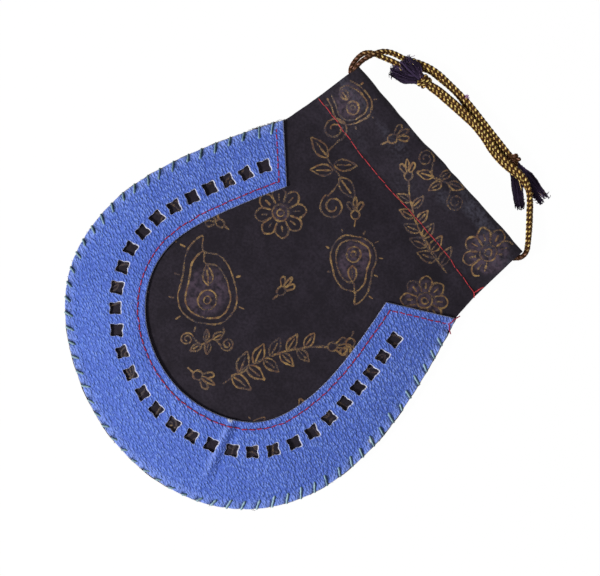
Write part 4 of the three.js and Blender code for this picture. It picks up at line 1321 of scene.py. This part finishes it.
def band_mesh():
    """The whole band: strips along the opening and the rim, two ends, and a cell round each hole."""
    middles, directions, shares, across = hole_places()
    between = [band_place(point)[0] for point in (middles[1:] + middles[:-1]) / 2]
    borders = np.array([1.5 * shares[0] - 0.5 * shares[1], *between, 1.5 * shares[-1] - 0.5 * shares[-2]])
    bevel = sizes().cut_edge
    bevel_rows = BEVEL_ROWS * bevel
    edge_shares = bevel_rows / END_RUN
    left_end = np.linspace(END_SHARE, borders[0], LEFT_END_COLUMNS)
    right_end = np.linspace(borders[-1], 1 - END_SHARE, RIGHT_END_COLUMNS)
    cells = [np.linspace(a, b, CELL_STEPS + 1) for a, b in zip(borders, borders[1:])]
    columns = np.unique(np.concatenate([edge_shares, left_end, *cells, right_end, 1 - edge_shares]))

    def cell_low(share):
        return np.interp(share, shares, across) - CELL_HALF / band_width(share)

    def cell_high(share):
        return np.interp(share, shares, across) + CELL_HALF / band_width(share)

    mesh = BandMesh()
    inner = np.concatenate([bevel_rows, np.linspace(0.1, 1, INNER_ROWS)])
    share, row = np.meshgrid(columns, np.arange(len(inner)), indexing="ij")
    in_bevel = inner[row] / band_width(share)
    mesh.add_patch(share, np.where(row < len(bevel_rows), in_bevel, inner[row] * cell_low(share)))

    outer = np.linspace(0, 1, OUTER_ROWS)
    share, row = np.meshgrid(columns, np.arange(OUTER_ROWS + len(bevel_rows)), indexing="ij")
    width = band_width(share)
    in_bevel = 1 - bevel_rows[::-1][np.maximum(row - OUTER_ROWS, 0)] / width
    before_bevel = mix(cell_high(share), 1 - 2.2 * bevel / width, outer[np.minimum(row, OUTER_ROWS - 1)])
    mesh.add_patch(share, np.where(row < OUTER_ROWS, before_bevel, in_bevel))

    for end in (columns[columns <= borders[0] + 1e-9], columns[columns >= borders[-1] - 1e-9]):
        share, part = np.meshgrid(end, np.linspace(0, 1, CELL_STEPS + 1), indexing="ij")
        mesh.add_patch(share, mix(cell_low(share), cell_high(share), part))

    steps = np.linspace(0, 1, CELL_STEPS, endpoint=False)
    for number, (start, stop) in enumerate(zip(borders, borders[1:])):
        run = cells[number][:-1]
        back_run = cells[number][::-1][:-1]
        ring_share = np.concatenate([run, np.full(CELL_STEPS, stop), back_run, np.full(CELL_STEPS, start)])
        climb = mix(cell_low(stop), cell_high(stop), steps)
        fall = mix(cell_high(start), cell_low(start), steps)
        ring_across = np.concatenate([cell_low(run), climb, cell_high(back_run), fall])
        mesh.add_hole(number, middles[number], directions[number], read_band(ring_share, ring_across))
    return mesh.welded()


def pucker(from_rim, along_rim, aside=0.0, breadth=0.85 * MM):
    """How hard the lacing pulls on the leather: 1 on a stitch, 0 between stitches and away from the rim.
    aside moves the pull along the rim."""
    slant = LACE_SLANT * (1 - from_rim / LACE_DEPTH)
    place = (along_rim - LACE_START + slant - aside) / LACE_PITCH
    beside = (place - np.round(place)) * LACE_PITCH
    reach = np.interp(along_rim / RIM_TRACK.length, *LACE_REACH) * LACE_DEPTH
    return hump(beside, breadth) * (1 - ease(from_rim, 0.5 * reach, reach + 0.3 * MM))


def crease_place(x, y):
    """Length of the fold, and how far along it and beside it a place lies."""
    (x0, y0), (x1, y1) = CREASE
    run = math.hypot(x1 - x0, y1 - y0)
    along = ((x - x0) * (x1 - x0) + (y - y0) * (y1 - y0)) / run
    beside = ((y - y0) * (x1 - x0) - (x - x0) * (y1 - y0)) / run
    return run, along, beside


def crease(x, y):
    """A fold across the band, as a ridge with a dip beside it; both fade at their ends."""
    run, along, beside = crease_place(x, y)
    fade = (1 - ease(along, 0.8 * run, 1.7 * run)) * ease(along, -3 * MM, 2 * MM)
    return fade * (hump(beside, 2 * MM) - 0.8 * hump(beside - 3 * MM, 1.7 * MM))


def crease_wear_and_highlight(x, y):
    """Where the lifted side of the fold, which faces the lamp, is rubbed pale and carries a painted
    highlight.
    """
    run, along, beside = crease_place(x, y)
    fade = (1 - ease(along, 0.7 * run, 1.6 * run)) * ease(along, 0, 3 * MM)
    return 0.7 * fade * hump(beside + 1.2 * MM, 1.1 * MM)


def leather_waves(x, y):
    """Slow waves of the leather and its fold, in mm."""
    waves = 0.26 * ripple(x, y, 19 * MM, 11) + 0.1 * ripple(x, y, 7 * MM, 12)
    return waves + CREASE_RISE * crease(x, y)


def leather_relief(x, y, from_opening, from_rim, along_rim):
    """What the leather's face rises and falls by: waves, the seam's groove, and its two worked edges."""
    groove = 0.3 * hump(from_opening - BAND_SEAM_INSET, 0.75 * MM)
    lip = 0.14 * (1 - ease(from_opening, 0, 2.4 * MM))
    plump = 0.34 * (1 - ease(from_rim, 1 * MM, 5 * MM))
    return MM * (leather_waves(x, y) - groove + lip + plump - pucker(from_rim, along_rim))


class POUCH_OT_leather_band(bpy.types.Operator):
    """Makes the horseshoe of leather with its punched holes and puckered rim"""

    bl_idname = "pouch.leather_band"
    bl_label = "Leather Band"

    def execute(self, context):
        rows, faces = band_mesh()
        x, y, drop, bare, from_opening, from_rim, along_rim = rows.T
        pulled = pucker(from_rim, along_rim)
        at_rim = 1 - ease(from_rim, 0, 1.5 * MM)
        direction = right_of(RIM_TRACK.direction(along_rim))
        bite = (0.42 * pulled - 0.12) * MM * at_rim
        x, y = x - bite * direction[:, 0], y - bite * direction[:, 1]
        top = leather_top(x, y) + leather_relief(x, y, from_opening, from_rim, along_rim) - drop
        under = np.minimum(leather_top(x, y) - LEATHER, top - 0.25 * MM)
        upper = np.stack([x, y, top], -1)
        lower = np.stack([x, y, under], -1)
        points, quads = thick_sheet(upper, lower, faces)
        # Pale on the rim's puffs between stitches: wear, and a painted highlight
        wear_and_sheen = (1 - ease(from_rim, 0.5 * MM, 5 * MM)) * (1 - pulled) * 0.75
        wear_and_sheen = np.maximum(wear_and_sheen, crease_wear_and_highlight(x, y))
        # Painted shade beside each stitch, on one side of it
        groove = pucker(from_rim, along_rim, -0.8 * MM, 0.62 * MM)
        for nick_x, nick_y in NICKS:
            bare = np.maximum(bare, ease(-np.hypot(x - nick_x, y - nick_y), -1.5 * MM, -0.6 * MM))
        parts = Parts()
        parts.add(points, quads, cut=np.tile(bare, 2), wear_and_sheen=np.tile(wear_and_sheen, 2), groove=np.tile(groove, 2))
        material = shared_material("punched_leather", leather_material)
        parts.build("leather_horseshoe", material, "leather", "leather_band")
        return {"FINISHED"}


# Threads

class POUCH_OT_edge_lacing(bpy.types.Operator):
    """Whips a twisted thread round the rim through the row of holes"""

    bl_idname = "pouch.edge_lacing"
    bl_label = "Edge Lacing"

    def execute(self, context):
        rng = np.random.default_rng(21)
        lace = sizes().lace
        points = []
        for place in LACE_PLACES:
            slip, reach = rng.normal(0, LACE_SLIP), rng.normal(0, LACE_UNEVEN)
            tip = np.clip(place + slip, 1 * MM, RIM_TRACK.length - 1 * MM)
            start = np.clip(place - LACE_SLANT + slip * 0.4, 0.5 * MM, RIM_TRACK.length)
            depth = np.interp(place / RIM_TRACK.length, *LACE_REACH) * LACE_DEPTH + reach
            hole = RIM_TRACK.at(tip) - depth * right_of(RIM_TRACK.direction(tip))
            edge = RIM_TRACK.at(start)
            out = edge + 0.1 * MM * right_of(RIM_TRACK.direction(start))
            under_hole, under_edge = back_under(*hole), back_under(*edge)
            rest = leather_top(*hole) - 0.5 * MM
            over_edge = leather_top(*edge) - 0.75 * MM
            near = mix(edge, hole, 0.14)
            middle = mix(edge, hole, 0.55)
            points += [
                (*near, under_edge - 0.4 * lace),
                (*out, mix(under_edge, over_edge, 0.3)),
                (*out, mix(under_edge, over_edge, 0.8)),
                (*near, over_edge + 0.32 * lace),
                (*middle, mix(over_edge, rest, 0.5) + 0.42 * lace),
                (*mix(edge, hole, 0.88), rest + 0.2 * lace),
                (*hole, rest - 0.9 * lace),
                (*hole, under_hole + 0.3 * MM),
                (*mix(hole, edge, 0.1), under_hole - 0.4 * lace),
            ]
        path = smooth_path(points, 0.34 * MM)
        path[:, 2] = np.maximum(path[:, 2], 0.62 * lace)
        tube, faces = thread(path, lace, LACE_SIDES, LACE_TWIST)
        along = Track(path).along
        # The lamp-facing side of the lacing is painted pale as light, palest at its start
        lit_paleness = np.where(along < LACE_PALEST, 1.3, np.interp(along / along[-1], *LACE_PALE))
        beside = (tube.reshape(-1, LACE_SIDES, 3) - path[:, None])[..., :2] @ PAINTED_LIT_SIDE
        lit_side = ease(beside / lace, -0.08, 0.3)
        parts = Parts()
        parts.add(tube, faces, bleached=(lit_paleness[:, None] * lit_side).ravel())
        shaded_side_sage, lit_side_sage = list(colours().lacing), list(colours().lacing_lit_side)
        material = shared_material("waxed_lacing", thread_material, shaded_side_sage, lit_side_sage)
        parts.build("whip_lacing", material, "lacing_thread", "edge_lacing")
        return {"FINISHED"}


SEWING_TWIST = 1.3 * MM


def stitch_row(parts, track, height, stitch, thickness, seed, gap=0.16):
    """Sewing stitches along a flat line, each sinking into the sheet at both ends."""
    rng = np.random.default_rng(seed)
    count = max(1, round(track.length / stitch))
    share = np.linspace(-1, 1, 11)
    for k in range(count):
        middle = (k + 0.5) * track.length / count
        reach = (0.5 - gap / 2) * track.length / count
        distance = np.clip(middle + share * reach, 0, track.length)
        sway = rng.normal(0, 0.08 * MM) + rng.normal(0, 0.13 * MM) * share[:, None]
        flat = track.at(distance) + sway * right_of(track.direction(distance))
        sink = thickness * (0.28 - 0.6 * np.abs(share) ** 7)
        points = np.column_stack([flat, height(flat[:, 0], flat[:, 1]) + sink])
        taper = thickness * (1 - 0.45 * share**6)
        normals = carried_normals(points, (0, 0, 1))
        tube, faces = swept(points, normals, 0.8 * taper, taper, STITCH_SIDES, SEWING_TWIST)
        # The ends of each stitch take the thread's second colour, which on the band seam is painted shade in
        # the needle holes
        parts.add(tube, faces, bleached=np.repeat(ease(np.abs(share), 0.6, 0.8), STITCH_SIDES))


def loose_end(parts, points, thickness):
    tube, faces = thread(smooth_path(points, 0.3 * MM), thickness, STITCH_SIDES, SEWING_TWIST)
    parts.add(tube, faces, bleached=0.0)


def level_at(height):
    """A surface of one height."""
    return lambda x, y: height + 0 * x


def band_seam_track():
    """Along the left end edge of the band, round the opening, and along the right end edge."""
    row = OPENING_TRACK.outside(BAND_SEAM_INSET)
    ends = []
    for share, sign in ((0, 1), (-1, -1)):
        inner, outer = OPENING_POINTS[share], RIM_POINTS[share]
        edge = unit(outer - inner)
        side = sign * OPENING_TRACK.direction(OPENING_TRACK.along[share])
        corner = inner + (edge + side) * BAND_SEAM_INSET / abs(edge[0] * side[1] - edge[1] * side[0])
        ends.append((corner, outer + side * BAND_SEAM_INSET * 1.05 - edge * 1.5 * MM))
    (left_corner, left_end), (right_corner, right_end) = ends
    near = np.linalg.norm(row.points - left_corner, axis=1).argmin()
    far = np.linalg.norm(row.points - right_corner, axis=1).argmin()
    return Track(np.vstack([left_end, left_corner, row.points[near + 1:far], right_corner, right_end]))


# Loose ends at the right end of the band seam: a step from that end, then two places, in mm; and their
# heights above the leather
LOOSE_BAND_ENDS = (
    ((1, 0), (57.7, 47.5), (60.1, 46.5)),
    ((0.5, 1.6), (56.3, 51.2), (56.9, 54.4)),
)
LOOSE_BAND_HEIGHTS = (0, 0.6, 0.7, -0.6)
# How far the front casing seam strays from a straight line, from left to right, in mm
SEAM_DRIFT = [2.2, 1.8, 0.75, -0.1, -0.6, -0.7, -0.6, -0.1, 0.15, 0.05, -0.1, -0.8, -1.2]
# Loose ends at the right end of the casing seam, from that end: across, along, and above the cloth, in mm
LOOSE_CASING_ENDS = (
    ((-0.6, 0, 0.1), (-0.3, 1.7, 0.3), (-0.2, 3.2, 0.35), (0.3, 4.6, 0.2)),
    ((-0.8, 0.1, 0.1), (0.2, -0.5, 0.4), (1.0, -1.3, 0.2)),
)


class POUCH_OT_machine_seams(bpy.types.Operator):
    """Sews the machine stitches of the band, the two casings and the two side seams"""

    bl_idname = "pouch.machine_seams"
    bl_label = "Machine Seams"

    def execute(self, context):
        thickness = sizes().sewing_thread
        self.band_seam(thickness)
        self.casing_seams(thickness)
        self.side_seams(thickness)
        return {"FINISHED"}

    def band_seam(self, thickness):
        parts = Parts()

        def in_groove(x, y):
            return leather_top(x, y) + MM * (leather_waves(x, y) - 0.12)

        track = band_seam_track()
        stitch_row(parts, track, in_groove, sizes().band_stitch, thickness, 31, 0.02)
        end = track.points[-1]
        heights = leather_top(*end) + MM * np.array(LOOSE_BAND_HEIGHTS)
        for step, *places in LOOSE_BAND_ENDS:
            flat = np.vstack([end, end + MM * np.array(step), MM * np.array(places)])
            loose_end(parts, np.column_stack([flat, heights]), thickness)
        # The stitch-end colour is painted shade in the needle holes
        red, end_shade = list(colours().band_thread), list(colours().stitch_end_shade)
        material = shared_material("band_seam_yarn", thread_material, red, end_shade)
        parts.build("band_seam", material, "band_thread", "band_stitching")

    def casing_seams(self, thickness):
        material = shared_material("casing_seam_yarn", thread_material, list(colours().casing_thread))
        seam_half = float(half_width(np.array(SEAM_Y))) - 0.8 * MM
        half = seam_half + float(end_drift(SEAM_Y, "right"))
        x = np.linspace(float(end_drift(SEAM_Y, "left")) - seam_half, half, 49)
        drift = read_even(SEAM_DRIFT, np.linspace(0, 1, len(x))) * MM
        track = Track(np.stack([x, SEAM_Y + drift], -1))
        front = Parts()
        stitch_row(front, track, front_surface, sizes().casing_stitch, 0.75 * thickness, 32, 0.01)
        for ends in LOOSE_CASING_ENDS:
            x, y, lift = (np.array(column) * MM for column in zip(*ends))
            x, y = x + half, y + track.points[-1, 1]
            loose_end(front, np.column_stack([x, y, front_surface(x, y) + lift]), 1.1 * thickness)
        front.build("front_casing_seam", material, "casing_thread", "front_casing_stitching")
        back = Parts()
        stitch_row(back, track, level_at(0.6 * MM), sizes().casing_stitch, 0.9 * thickness, 33, 0.02)
        back.build("back_casing_seam", material, "casing_thread", "back_casing_stitching")

    def side_seams(self, thickness):
        material = shared_material("side_seam_yarn", thread_material, list(colours().side_thread))
        for side, name in ((-1, "left_side_seam"), (1, "right_side_seam")):
            low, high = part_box(name)
            y = np.linspace(low.y, high.y, 8)
            x = side * (half_width(y) - 2.2 * MM)
            track = Track(np.stack([x, y], -1))
            parts = Parts()
            stitch_row(parts, track, level_at((low.z + high.z) / 2), 2.6 * MM, 0.7 * thickness, 34)
            parts.build(name + "_thread", material, "side_thread", name)


# Cords

# Parts of the braid as shares of its thickness, and how bright every other foil yarn is
CORE_SHARE = 0.66
YARN_CIRCLE = 0.74
YARN_WEAVE = 0.14
YARN_THICKNESS = 0.23
FOIL_WIDTH = 0.31
DARK_WIDTH = 0.58
FOIL_SINK = 0.03
DULL_FOIL = 0.5
BRAID_STEP = 0.27 * MM
# How far from the casing the foil has worn to copper
AGED_RUN = {"left": 20 * MM, "right": 9 * MM}
# A wisp of pale fibres pulled out of the left cord
SNAG_PLACE = np.array([-11.6, 115.9, 4.6]) * MM
SNAG_FIBRES = 26
# Knots: turns of cord about an axis; the cord in them is pulled to a share of its thickness
KNOT_RADIUS = 1.7 * MM
KNOT_HALF = 2.3 * MM
KNOT_WOBBLE = 0.25 * MM
KNOT_CORD = 0.86
KNOTS = {
    "left": {"middle": (0.0216, 0.1146, 0.0033), "axis": (1, -0.1, -0.05), "turns": 2.6, "aged_run": 40 * MM},
    "right": {"middle": (-0.0285, 0.1072, 0.0033), "axis": (-1, -0.35, 0.05), "turns": 2.4, "aged_run": 0.0},
}


def braid(parts, path, diameter, aged_run=0.0):
    """A round braid of eight yarns along a path: four foil yarns wind one way, four dark ones the other.
    Over the aged run at its start the foil has worn to copper."""
    along = Track(path).along
    aged = 1 - ease(along, 0.4 * aged_run, aged_run + 1 * MM)
    diameter = diameter * (1 - 0.14 * aged)
    normals = carried_normals(path, (0, 0, 1))
    binormals = np.cross(unit(np.gradient(path, axis=0)), normals)
    tube, faces = swept(path, normals, CORE_SHARE * diameter, CORE_SHARE * diameter, YARN_SIDES)
    parts.add(tube, faces, gold=0.0, aged=0.0, purple=0.0)
    turn = 2 * math.pi * along / sizes().braid_pitch
    for hand in (1, -1):
        foil = hand > 0
        radius = diameter / 2 * (YARN_CIRCLE - FOIL_SINK * foil + hand * YARN_WEAVE * np.cos(4 * turn))
        for yarn in range(4):
            angle = hand * turn + yarn * math.pi / 2
            away = np.cos(angle)[:, None] * normals + np.sin(angle)[:, None] * binormals
            yarn_path = path + radius[:, None] * away
            width = (FOIL_WIDTH if foil else DARK_WIDTH) * diameter
            tube, faces = swept(yarn_path, away, YARN_THICKNESS * diameter, width, YARN_SIDES)
            gold = foil * (1.0, DULL_FOIL)[yarn % 2]
            parts.add(tube, faces, gold=gold, aged=np.repeat(aged, YARN_SIDES), purple=0.0)


def casing_run(side, lane):
    """A cord's run in the casings: in at the back, a turn at the far end, and out at the front."""
    sign = -1 if side == "left" else 1
    start = LANE_END[side]
    turn_end = MOUTH_HALF - GAP - sizes().cord / 2
    if side == "right":
        turn_end -= END_DRIFT["left"][-1]
    radius = (float(casing_mid(np.array(turn_end - FOLD_RADIUS))) - BACK_CASING_MID) / 2
    turn_x = turn_end - radius
    x = np.linspace(-start, turn_x, 24)
    angle = np.linspace(0, math.pi, 9)[1:-1]
    turn = np.stack([turn_x + radius * np.sin(angle), BACK_CASING_MID + radius * (1 - np.cos(angle))], -1)
    back = np.stack([x, BACK_CASING_MID + 0 * x], -1)
    front = np.stack([x, casing_mid(x)], -1)[::-1]
    run = np.vstack([back, turn, front])
    run[:, 0] *= -sign
    y = mouth_line(run[:, 0]) - lane
    return np.column_stack([run[:, 0], y, run[:, 1]])


class POUCH_OT_drawcords(bpy.types.Operator):
    """Braids the two drawcords: two free strands each, and the run inside the casings"""

    bl_idname = "pouch.drawcords"
    bl_label = "Drawcords"

    def execute(self, context):
        material = shared_material("foil_braid", braid_material, list(colours().braid_dark))
        diameter = sizes().cord
        for side, lane in (("left", LEFT_LANE), ("right", RIGHT_LANE)):
            node = side + "_drawcord"
            for face, tail in (("front", "1"), ("back", "2")):
                route = ROUTES[f"{side}_{face}"]
                into_knot = mix(np.array(route[-1]), np.array(KNOTS[side]["middle"]), 0.7)
                path = smooth_path([*route, into_knot], BRAID_STEP)
                parts = Parts()
                braid(parts, path, diameter, AGED_RUN[side])
                if route is ROUTES["left_front"]:
                    self.snag(parts)
                strand = parts.build(f"{side}_{face}_strand", material, "braid", node)
            hidden = Parts()
            run = casing_run(side, lane)
            joined = [ROUTES[side + "_back"][0], *run, ROUTES[side + "_front"][0]]
            braid(hidden, smooth_path(joined, 0.5 * MM), 0.98 * diameter)
            hidden.build(side + "_cord_in_casing", material, "braid", node)
        return {"FINISHED"}

    def snag(self, parts):
        """Pulls the wisp of fibres out of the left cord."""
        rng = np.random.default_rng(75)
        for _ in range(SNAG_FIBRES):
            start = SNAG_PLACE + rng.normal(0, 0.35 * MM, 3)
            end = start + np.array([rng.normal(0.1, 0.7), rng.uniform(0.4, 1.7), rng.normal(0, 0.3)]) * MM
            middle = mix(start, end, 0.5) + rng.normal(0, 0.25 * MM, 3)
            tube, faces = thread(smooth_path([start, middle, end], 0.25 * MM), 0.2 * MM, HAIR_SIDES)
            parts.add(tube, faces, gold=0.0, aged=0.0, purple=1.4)


class POUCH_OT_knots(bpy.types.Operator):
    """Winds the cord ends into the two knots"""

    bl_idname = "pouch.knots"
    bl_label = "Knots"

    def execute(self, context):
        material = shared_material("foil_braid", braid_material, list(colours().braid_dark))
        for side, knot in KNOTS.items():
            axis = unit(np.array(knot["axis"], float))
            beside = unit(np.cross(axis, (0, 0, 1)))
            above = np.cross(beside, axis)
            share = np.linspace(-1, 1, 90)
            angle = share * math.pi * knot["turns"]
            radius = KNOT_RADIUS * (1 - 0.25 * share**2)
            wobble = KNOT_WOBBLE * np.sin(3 * angle)
            turns = (
                np.array(knot["middle"])
                + (KNOT_HALF * share + wobble)[:, None] * axis
                + (1.2 * radius * np.cos(angle))[:, None] * beside
                + (0.92 * radius * np.sin(angle))[:, None] * above
            )
            parts = Parts()
            path = smooth_path(turns[::3], BRAID_STEP)
            braid(parts, path, KNOT_CORD * sizes().cord, knot["aged_run"])
            parts.build(side + "_knot_turns", material, "braid", side + "_knot")
        return {"FINISHED"}


# Strands of a frayed end, and the share of its loose threads that are foil
WISPS = 46
LOOSE_THREADS = 60
FOIL_SHARE = 0.08


class POUCH_OT_frayed_ends(bpy.types.Operator):
    """Spreads the loose threads of the four frayed cord ends"""

    bl_idname = "pouch.frayed_ends"
    bl_label = "Frayed Ends"

    def execute(self, context):
        material = shared_material("frayed_yarn", braid_material, list(colours().fray))
        for seed, (name, (root, tip, spread, purple)) in enumerate(TAILS.items()):
            rng = np.random.default_rng(60 + seed)
            root, tip = np.array(root), np.array(tip)
            aside = unit(np.cross(tip - root, (0, 0, 1))) * spread
            parts = Parts()
            for k in range(WISPS + LOOSE_THREADS):
                self.add_strand(parts, rng, root, tip - root, aside, k < WISPS, purple)
            parts.build(name + "_threads", material, "fray", name)
        return {"FINISHED"}

    def add_strand(self, parts, rng, root, reach, aside, wisp, purple):
        """A flat wisp of clinging fibres, or one loose thread."""
        lean = rng.uniform(-1, 1)
        start = root - 0.12 * reach + aside * rng.normal(0, 0.2) + (0, 0, rng.normal(0.2, 0.3) * MM)
        end = root + reach * rng.uniform(0.66, 1.02) + aside * lean + (0, 0, rng.normal(0, 0.5) * MM)
        bow = aside * rng.normal(0.4 * lean, 0.22) + (0, 0, rng.uniform(0.1, 1.2) * MM)
        middle = mix(start, end, 0.5) + bow
        hook = end + aside * rng.normal(0, 0.3) - 0.08 * reach * rng.uniform(0, 1.5)
        bends = [start, mix(start, middle, 0.55), middle, mix(middle, end, 0.6), end, hook]
        path = smooth_path(bends, 0.6 * MM)
        share = np.linspace(0, 1, len(path))
        width = np.full(len(path), 0.24 * MM)
        if wisp:
            width = mix(1.5, 0.25, share**1.5) * rng.uniform(0.7, 1.2) * MM
        thickness = np.minimum(width, 0.32 * MM)
        path[:, :2] += rng.normal(0, 0.06 * MM, path[:, :2].shape)
        path[:, 2] = np.maximum(path[:, 2], 0.7 * MM if wisp else 0.2 * MM)
        tilt = np.array([*(0.5 * rng.normal() * unit(aside)[:2]), 1])
        tube, faces = swept(path, carried_normals(path, tilt), thickness, width, YARN_SIDES)
        foil = not wisp and rng.random() < FOIL_SHARE
        tip_fade = np.zeros(len(path)) if wisp else 0.5 * purple * ease(share, 0.6, 1)
        shade = np.repeat(purple * rng.random() ** 3 + tip_fade, YARN_SIDES)
        parts.add(tube, faces, gold=float(foil), aged=0.0, purple=shade)


# Loose threads of the cloth edge: how many, and between which distances along the rim, in mm
EDGE_HAIRS = ((70, 0, 16), (40, 16, 370))


class POUCH_OT_edge_frays(bpy.types.Operator):
    """Adds the fine loose threads along the cut cloth edges"""

    bl_idname = "pouch.edge_frays"
    bl_label = "Edge Frays"

    def execute(self, context):
        rng = np.random.default_rng(80)
        parts = Parts()
        places = [rng.uniform(start, end, count) for count, start, end in EDGE_HAIRS]
        for place in np.concatenate(places) * MM:
            self.add_hair(parts, rng, place)
        material = shared_material("frayed_yarn", braid_material, list(colours().fray))
        parts.build("edge_frays", material, "front_cloth")
        return {"FINISHED"}

    def add_hair(self, parts, rng, place):
        edge = RIM_TRACK.at(place)
        direction = RIM_TRACK.direction(place)
        out = right_of(direction)
        height = float(front_top(*edge)) - rng.uniform(0.1, 0.5) * MM
        swing = rng.normal(0, 0.9) * MM
        stand = rng.uniform(0.3, 1.0) * MM
        points = [
            (*(edge - 1 * MM * out), height),
            (*(edge + 0.5 * stand * out + 0.3 * swing * direction), height + rng.normal(0, 0.1) * MM),
            (*(edge + stand * out + swing * direction), height + rng.normal(0, 0.3) * MM),
        ]
        tube, faces = thread(smooth_path(points, 0.4 * MM), 0.16 * MM, HAIR_SIDES)
        parts.add(tube, faces, gold=0.0, aged=0.0, purple=0.0)


# Stage

class POUCH_OT_stage(bpy.types.Operator):
    """Makes the camera, the lights and the pale floor"""

    bl_idname = "pouch.stage"
    bl_label = "Stage"

    def execute(self, context):
        scene = context.scene
        scene.view_settings.view_transform = "Standard"
        self.camera(scene)
        self.lights(scene)
        self.floor()
        return {"FINISHED"}

    def camera(self, scene):
        distance = VIEW_WIDTH * VIEW_LENS / VIEW_SENSOR
        place = (*VIEW_CENTRE, SUBJECT_HEIGHT + distance)
        bpy.ops.object.camera_add(location=place, rotation=(0, 0, VIEW_TURN))
        camera = bpy.context.object
        camera.data.lens = VIEW_LENS
        camera.data.sensor_width = VIEW_SENSOR
        scene.camera = camera

    def lights(self, scene):
        world = bpy.data.worlds.new("soft_room")
        scene.world = world
        world.use_nodes = True
        room = world.node_tree.nodes["Background"]
        room.inputs["Color"].default_value = (1, 1, 1, 1)
        room.inputs["Strength"].default_value = ROOM_STRENGTH
        left = np.array([-math.cos(VIEW_TURN), -math.sin(VIEW_TURN)])
        up = np.array([-math.sin(VIEW_TURN), math.cos(VIEW_TURN)])
        spot = LAMP_LEFT * left - LAMP_DOWN * up
        tilt = math.atan2(float(np.linalg.norm(spot)), LAMP_HEIGHT)
        facing = math.atan2(spot[1], spot[0])
        bpy.ops.object.light_add(type="AREA", location=(*spot, LAMP_HEIGHT), rotation=(0, tilt, facing))
        lamp = bpy.context.object.data
        lamp.size = LAMP_SIZE
        lamp.energy = LAMP_POWER

    def floor(self):
        bpy.ops.mesh.primitive_plane_add(size=FLOOR_SIZE)
        plane = bpy.context.object
        plane.name = "floor"
        material, tree, shader = new_material("white_paper", 0.9, 0.0)
        shader.inputs["Base Color"].default_value = (1, 1, 1, 1)
        glow = add_node(tree, "Emission", {"Strength": 1.0})
        rays = add_node(tree, "LightPath")
        seen = arithmetic(tree, "MAXIMUM", rays.outputs["Is Camera Ray"], rays.outputs["Is Glossy Ray"])
        seen = arithmetic(tree, "MAXIMUM", seen, rays.outputs["Is Transmission Ray"])
        share = arithmetic(tree, "MULTIPLY", seen, FLOOR_GLOW)
        shown = add_node(tree, "MixShader", {0: share, 1: shader.outputs[0], 2: glow.outputs[0]})
        tree.links.new(shown.outputs[0], tree.nodes["Material Output"].inputs["Surface"])
        plane.data.materials.append(material)


class POUCH_PT_panel(bpy.types.Panel):
    """Lists the steps that make the pouch"""

    bl_idname = "POUCH_PT_panel"
    bl_label = "Drawstring Pouch"
    bl_space_type = "VIEW_3D"
    bl_region_type = "UI"
    bl_category = "Pouch"

    def draw(self, context):
        for step in STEPS:
            self.layout.operator(step.bl_idname)
        for group in (context.scene.pouch_sizes, context.scene.pouch_colours):
            for name in group.__annotations__:
                self.layout.prop(group, name)


STEPS = (
    POUCH_OT_stage,
    POUCH_OT_knots,
    POUCH_OT_frayed_ends,
    POUCH_OT_drawcords,
    POUCH_OT_back_panel,
    POUCH_OT_front_panel,
    POUCH_OT_gold_print,
    POUCH_OT_leather_band,
    POUCH_OT_edge_lacing,
    POUCH_OT_machine_seams,
    POUCH_OT_edge_frays,
)
CLASSES = (PouchSizes, PouchColours, *STEPS, POUCH_PT_panel)


def register():
    for cls in CLASSES:
        bpy.utils.register_class(cls)
    bpy.types.Scene.pouch_sizes = PointerProperty(type=PouchSizes)
    bpy.types.Scene.pouch_colours = PointerProperty(type=PouchColours)


def unregister():
    del bpy.types.Scene.pouch_colours
    del bpy.types.Scene.pouch_sizes
    for cls in reversed(CLASSES):
        bpy.utils.unregister_class(cls)


def main():
    register()
    for step in STEPS:
        family, name = step.bl_idname.split(".")
        getattr(getattr(bpy.ops, family), name)()


if __name__ == "__main__":
    main()
